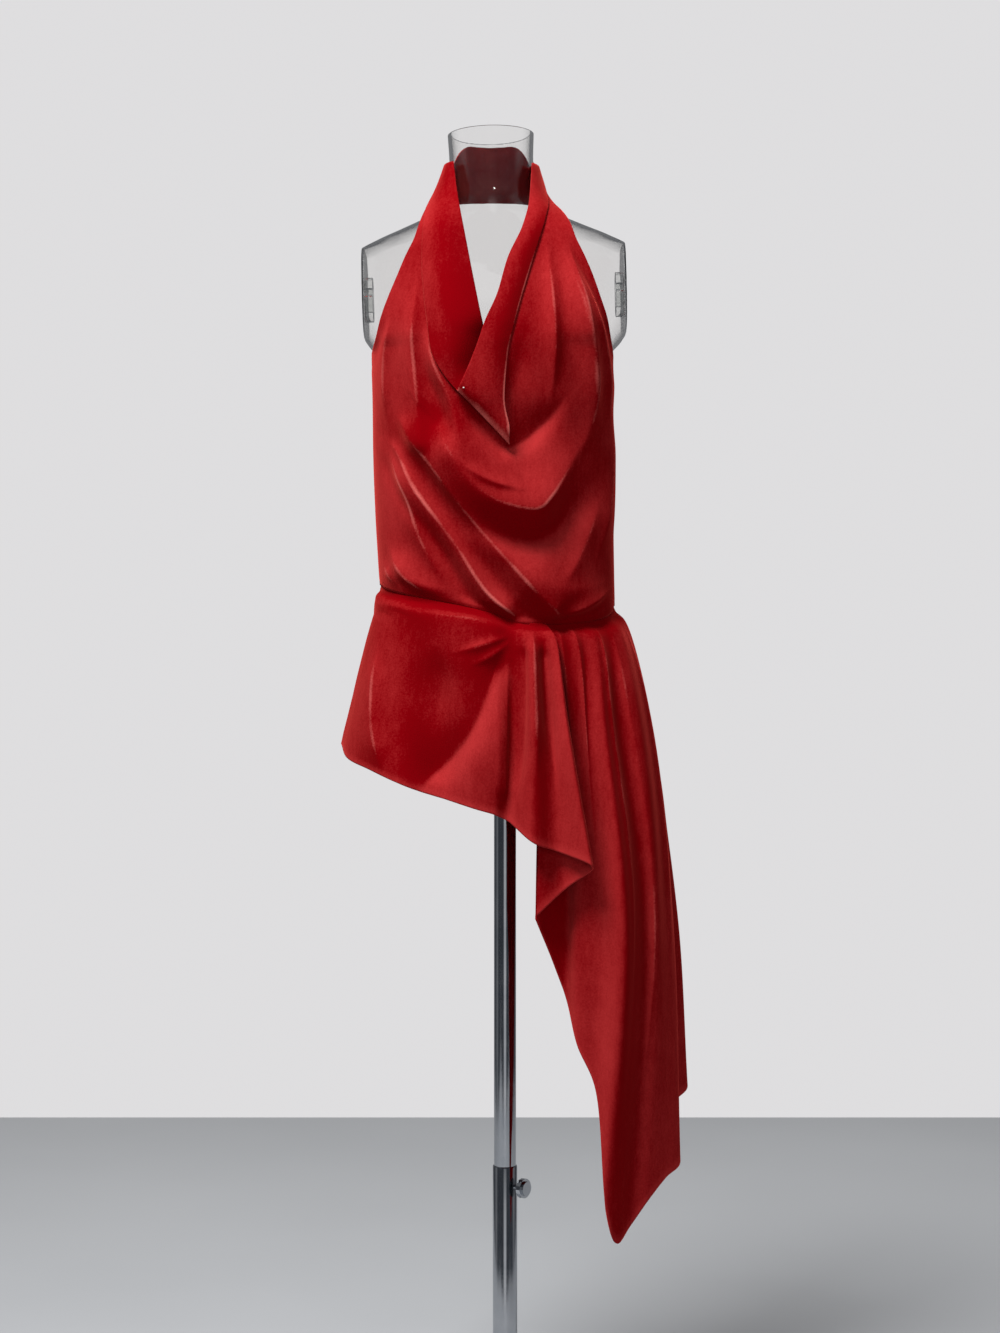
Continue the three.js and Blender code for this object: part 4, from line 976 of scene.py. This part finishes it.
backPeplumFolds = {
    "backA": {"lift": 5, "upper": 11, "under": 8, "start": 0.15, "end": 0.3, "line": [
        [66, 1150], [72, 1010], [70, 850]]},
    "backB": {"lift": 6, "upper": 12, "under": 9, "start": 0.15, "end": 0.2, "line": [
        [128, 1156], [134, 1020], [140, 900]]},
    "backC": {"lift": 4, "upper": 9, "under": 7, "start": 0.1, "end": 0.5, "line": [
        [186, 1160], [182, 1080], [176, 990]]},
    "backD": {"lift": 6, "upper": 12, "under": 9, "start": 0.2, "end": 0.2, "line": [
        [222, 1160], [228, 1040], [226, 930]]},
    "backE": {"lift": 4, "upper": 10, "under": 8, "start": 0.2, "end": 0.3, "line": [
        [292, 1166], [298, 1060], [306, 960]]},
}
skirtPieces = {
    "frontPeplum": {"node": "front_peplum", "lines": frontLines, "grid": (280, 130), "folds": peplumFolds,
                    "foldsEnd": 0.76, "glint": 1, "middle": paintedShadeLook["peplum"], "slanted": True,
                    "flat": (0.62, 0.42), "area": 0.11},
    "sideDrape": {"node": "side_drape", "lines": drapeLines, "grid": (275, 175), "folds": drapeFolds,
                  "round": 352, "glint": 0.45, "middle": paintedShadeLook["drape"], "slanted": False,
                  "flat": (0.66, 0.86), "area": 0.29},
    "backPeplum": {"node": "back_peplum", "lines": backLines, "grid": (200, 120), "folds": backPeplumFolds,
                   "round": 360, "glint": 0.45, "middle": paintedShadeLook["drape"], "slanted": False,
                   "flat": (0.52, 0.42), "area": 0.11},
}
for name, panel in skirtPieces.items():
    makeSkirtPiece(name, panel)
print("skirt made")


# Stand: turned from chromed steel tube and plate.
standSize = {"baseRadius": 170, "basePlate": 8, "tubeRadius": 16.5, "tubeBore": 15.15, "tubeTop": 407,
             "poleRadius": 14.85, "poleBore": 13.2, "poleFoot": 200, "gap": 0.3,
             "plateThick": 6, "flangeThick": 4, "baseEdge": 2.5,
             "hub": [[0, 0], [20, 0], [19.6, 3.5], [18, 5.5], [12, 7.5], [8.5, 11], [7.2, 18], [6, 37],
                     [5, 40], [3, 41], [0, 41], [0, 0]]}  # out from its bore and up from the plate


# A quarter circle of points for an outline.
def roundedCorner(x, z, radius, start, steps=5):
    angle = np.radians(np.linspace(start, start + 90, steps))
    return [[x + radius * np.cos(a), z + radius * np.sin(a)] for a in angle]


def makeStand(size):
    gap = size["gap"]
    edge = size["baseEdge"]
    base = [[0, 0]] + roundedCorner(size["baseRadius"] - edge, edge, edge, -90)
    base += roundedCorner(size["baseRadius"] - edge, size["basePlate"] - edge, edge, 0)
    base.append([0, size["basePlate"]])
    plate = turnedPiece("basePlate", base, 160)
    finishPiece(plate, chrome, "stand", "stand_chrome", "base_plate")
    foot = size["basePlate"] + gap
    bore = size["tubeRadius"] + gap
    hub = turnedPiece("baseHub", [[bore + out, foot + up] for out, up in size["hub"]], 96)
    finishPiece(hub, chrome, "stand", "stand_chrome", "base_hub")
    top = size["tubeTop"]
    tube = turnedPiece("lowerTube", [
        [size["tubeBore"], foot], [size["tubeRadius"], foot], [size["tubeRadius"], top - 1.4],
        [size["tubeRadius"] - 0.3, top - 0.5], [size["tubeRadius"] - 0.8, top],
        [size["tubeBore"], top], [size["tubeBore"], foot]], 96)
    finishPiece(tube, chrome, "stand", "stand_chrome", "lower_tube")
    poleTop = formSize["foot"] - 3 * gap - size["plateThick"] - size["flangeThick"]
    pole = turnedPiece("upperPole", [
        [size["poleBore"], size["poleFoot"]], [size["poleRadius"], size["poleFoot"]],
        [size["poleRadius"], poleTop], [size["poleBore"], poleTop],
        [size["poleBore"], size["poleFoot"]]], 96)
    finishPiece(pole, chrome, "mast", "stand_chrome", "upper_pole")


makeStand(standSize)
for node, material in (("form_plate", clearThick), ("arm_fitting_right", clearThick),
                       ("arm_fitting_left", clearThick), ("form_socket", chrome),
                       ("clamp_knob", chrome), ("side_zip_pull", zipMetal)):
    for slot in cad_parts[node].material_slots:
        slot.material = material
print("stand made")

# Room: a pale floor and soft light from the upper left. The surround is what lights the cloth, by the
# direction from the camera's side (0), past dark sides, to the wall (1).
room = {
    "floorHalf": 2.3, "wall": (0.735, 0.728, 0.738, 1), "dark": (0.055, 0.06, 0.07, 1),
    "strip": (0.62, 0.62, 0.63, 1), "sideStrip": 0.25, "wallStrip": 0.3,
    "surround": [
        (0.0, (0.27, 0.264, 0.25, 1)), (0.25, (0.27, 0.264, 0.254, 1)), (0.40, (0.12, 0.12, 0.122, 1)),
        (0.66, (0.12, 0.12, 0.122, 1)), (0.84, (0.735, 0.728, 0.738, 1)), (1.0, (0.735, 0.728, 0.738, 1))],
}
lights = [
    {"name": "keyLight", "place": (-1.1, -1.5, 4.2), "aim": (0, 0, 1.25), "size": (1.2, 1.2), "power": 238},
    {"name": "fillLight", "place": (0.6, -3.6, 1.5), "aim": (0, 0, 1.2), "size": (1.6, 1.6), "power": 26},
    {"name": "topLight", "place": (0.5, 1.4, 3.4), "aim": (0, 0, 1.3), "size": (1.6, 1.0), "power": 30},
    {"name": "windowLight", "place": (0.2, -2.2, 3.35), "aim": (0, 0, 1.6), "size": (0.14, 0.18),
     "power": 2, "mirrored": True},
]


def makeFloor(size):
    half = size["floorHalf"] / mm
    points = np.array([[-half, -half, 0], [half, -half, 0], [half, half, 0], [-half, half, 0]]) * mm
    points[:, 2] = -0.0002
    floor = meshObject("floor", points, np.array([[0, 1, 2, 3]]))
    floor.data.materials.append(floorMaterial("paleFloor"))


# A soft rectangular light. Only the small window light shows in the clear form and the chrome.
def makeLight(name, place, aim, size, power, mirrored=False):
    data = bpy.data.lights.new(name, "AREA")
    data.shape = "RECTANGLE"
    data.size, data.size_y = size
    data.energy = power
    light = bpy.data.objects.new(name, data)
    light.location = place
    light.rotation_euler = (Vector(aim) - Vector(place)).to_track_quat("-Z", "Y").to_euler()
    light.visible_glossy = mirrored
    light.visible_transmission = False
    bpy.context.scene.collection.objects.link(light)


# The world: the camera and rays straight through the clear form see the plain wall, mirroring rays see
# a dark room with pale strips, and the rest see the surround.
def makeSurround(size):
    world = bpy.data.worlds.new("studio")
    bpy.context.scene.world = world
    world.use_nodes = True
    tree = world.node_tree
    tree.nodes.clear()
    shade = Shade(tree)
    place = shade.node("ShaderNodeTexCoord", out="Generated")
    towards = shade.node("ShaderNodeSeparateXYZ", None, {"Vector": place}, out="Y")
    colour = shade.node("ShaderNodeValToRGB", {"stops": size["surround"]},
                        {"Fac": shade.ramp(towards, -1, 1)}, out="Color")
    sideways = shade.node("ShaderNodeSeparateXYZ", None, {"Vector": place}, out="X")
    upwards = shade.node("ShaderNodeSeparateXYZ", None, {"Vector": place}, out="Z")
    strip = shade.ramp(shade.sum("ABSOLUTE", sideways), 0.28, 0.12) * shade.ramp(towards, -0.2, -0.5)
    strip = strip * shade.ramp(upwards, 0.14, 0.02)
    sideStrip = shade.ramp(shade.sum("ABSOLUTE", towards), 0.3, 0.12) * size["sideStrip"]
    strip = shade.sum("MAXIMUM", strip, shade.ramp(towards, 0.45, 0.95) * size["wallStrip"])
    mirrored = shade.blend(shade.sum("MAXIMUM", strip, sideStrip), size["dark"], size["strip"])
    bounced = shade.sum("MINIMUM", shade.node("ShaderNodeLightPath", out="Glossy Depth"), 1)
    gloss = shade.node("ShaderNodeLightPath", out="Is Glossy Ray")
    through = shade.node("ShaderNodeLightPath", out="Is Transmission Ray")
    colour = shade.blend(shade.sum("MAXIMUM", gloss, through * bounced), colour, mirrored)
    through = through * (1 - bounced)
    seen = shade.node("ShaderNodeLightPath", out="Is Camera Ray")
    colour = shade.blend(seen.sum("MAXIMUM", seen, through), colour, size["wall"])
    background = shade.node("ShaderNodeBackground", None, {"Color": colour, "Strength": 1.0})
    output = tree.nodes.new("ShaderNodeOutputWorld")
    tree.links.new(background.socket, output.inputs["Surface"])


makeFloor(room)
makeSurround(room)
for light in lights:
    makeLight(**light)
bpy.context.scene.view_settings.view_transform = "Standard"
print("room lit")
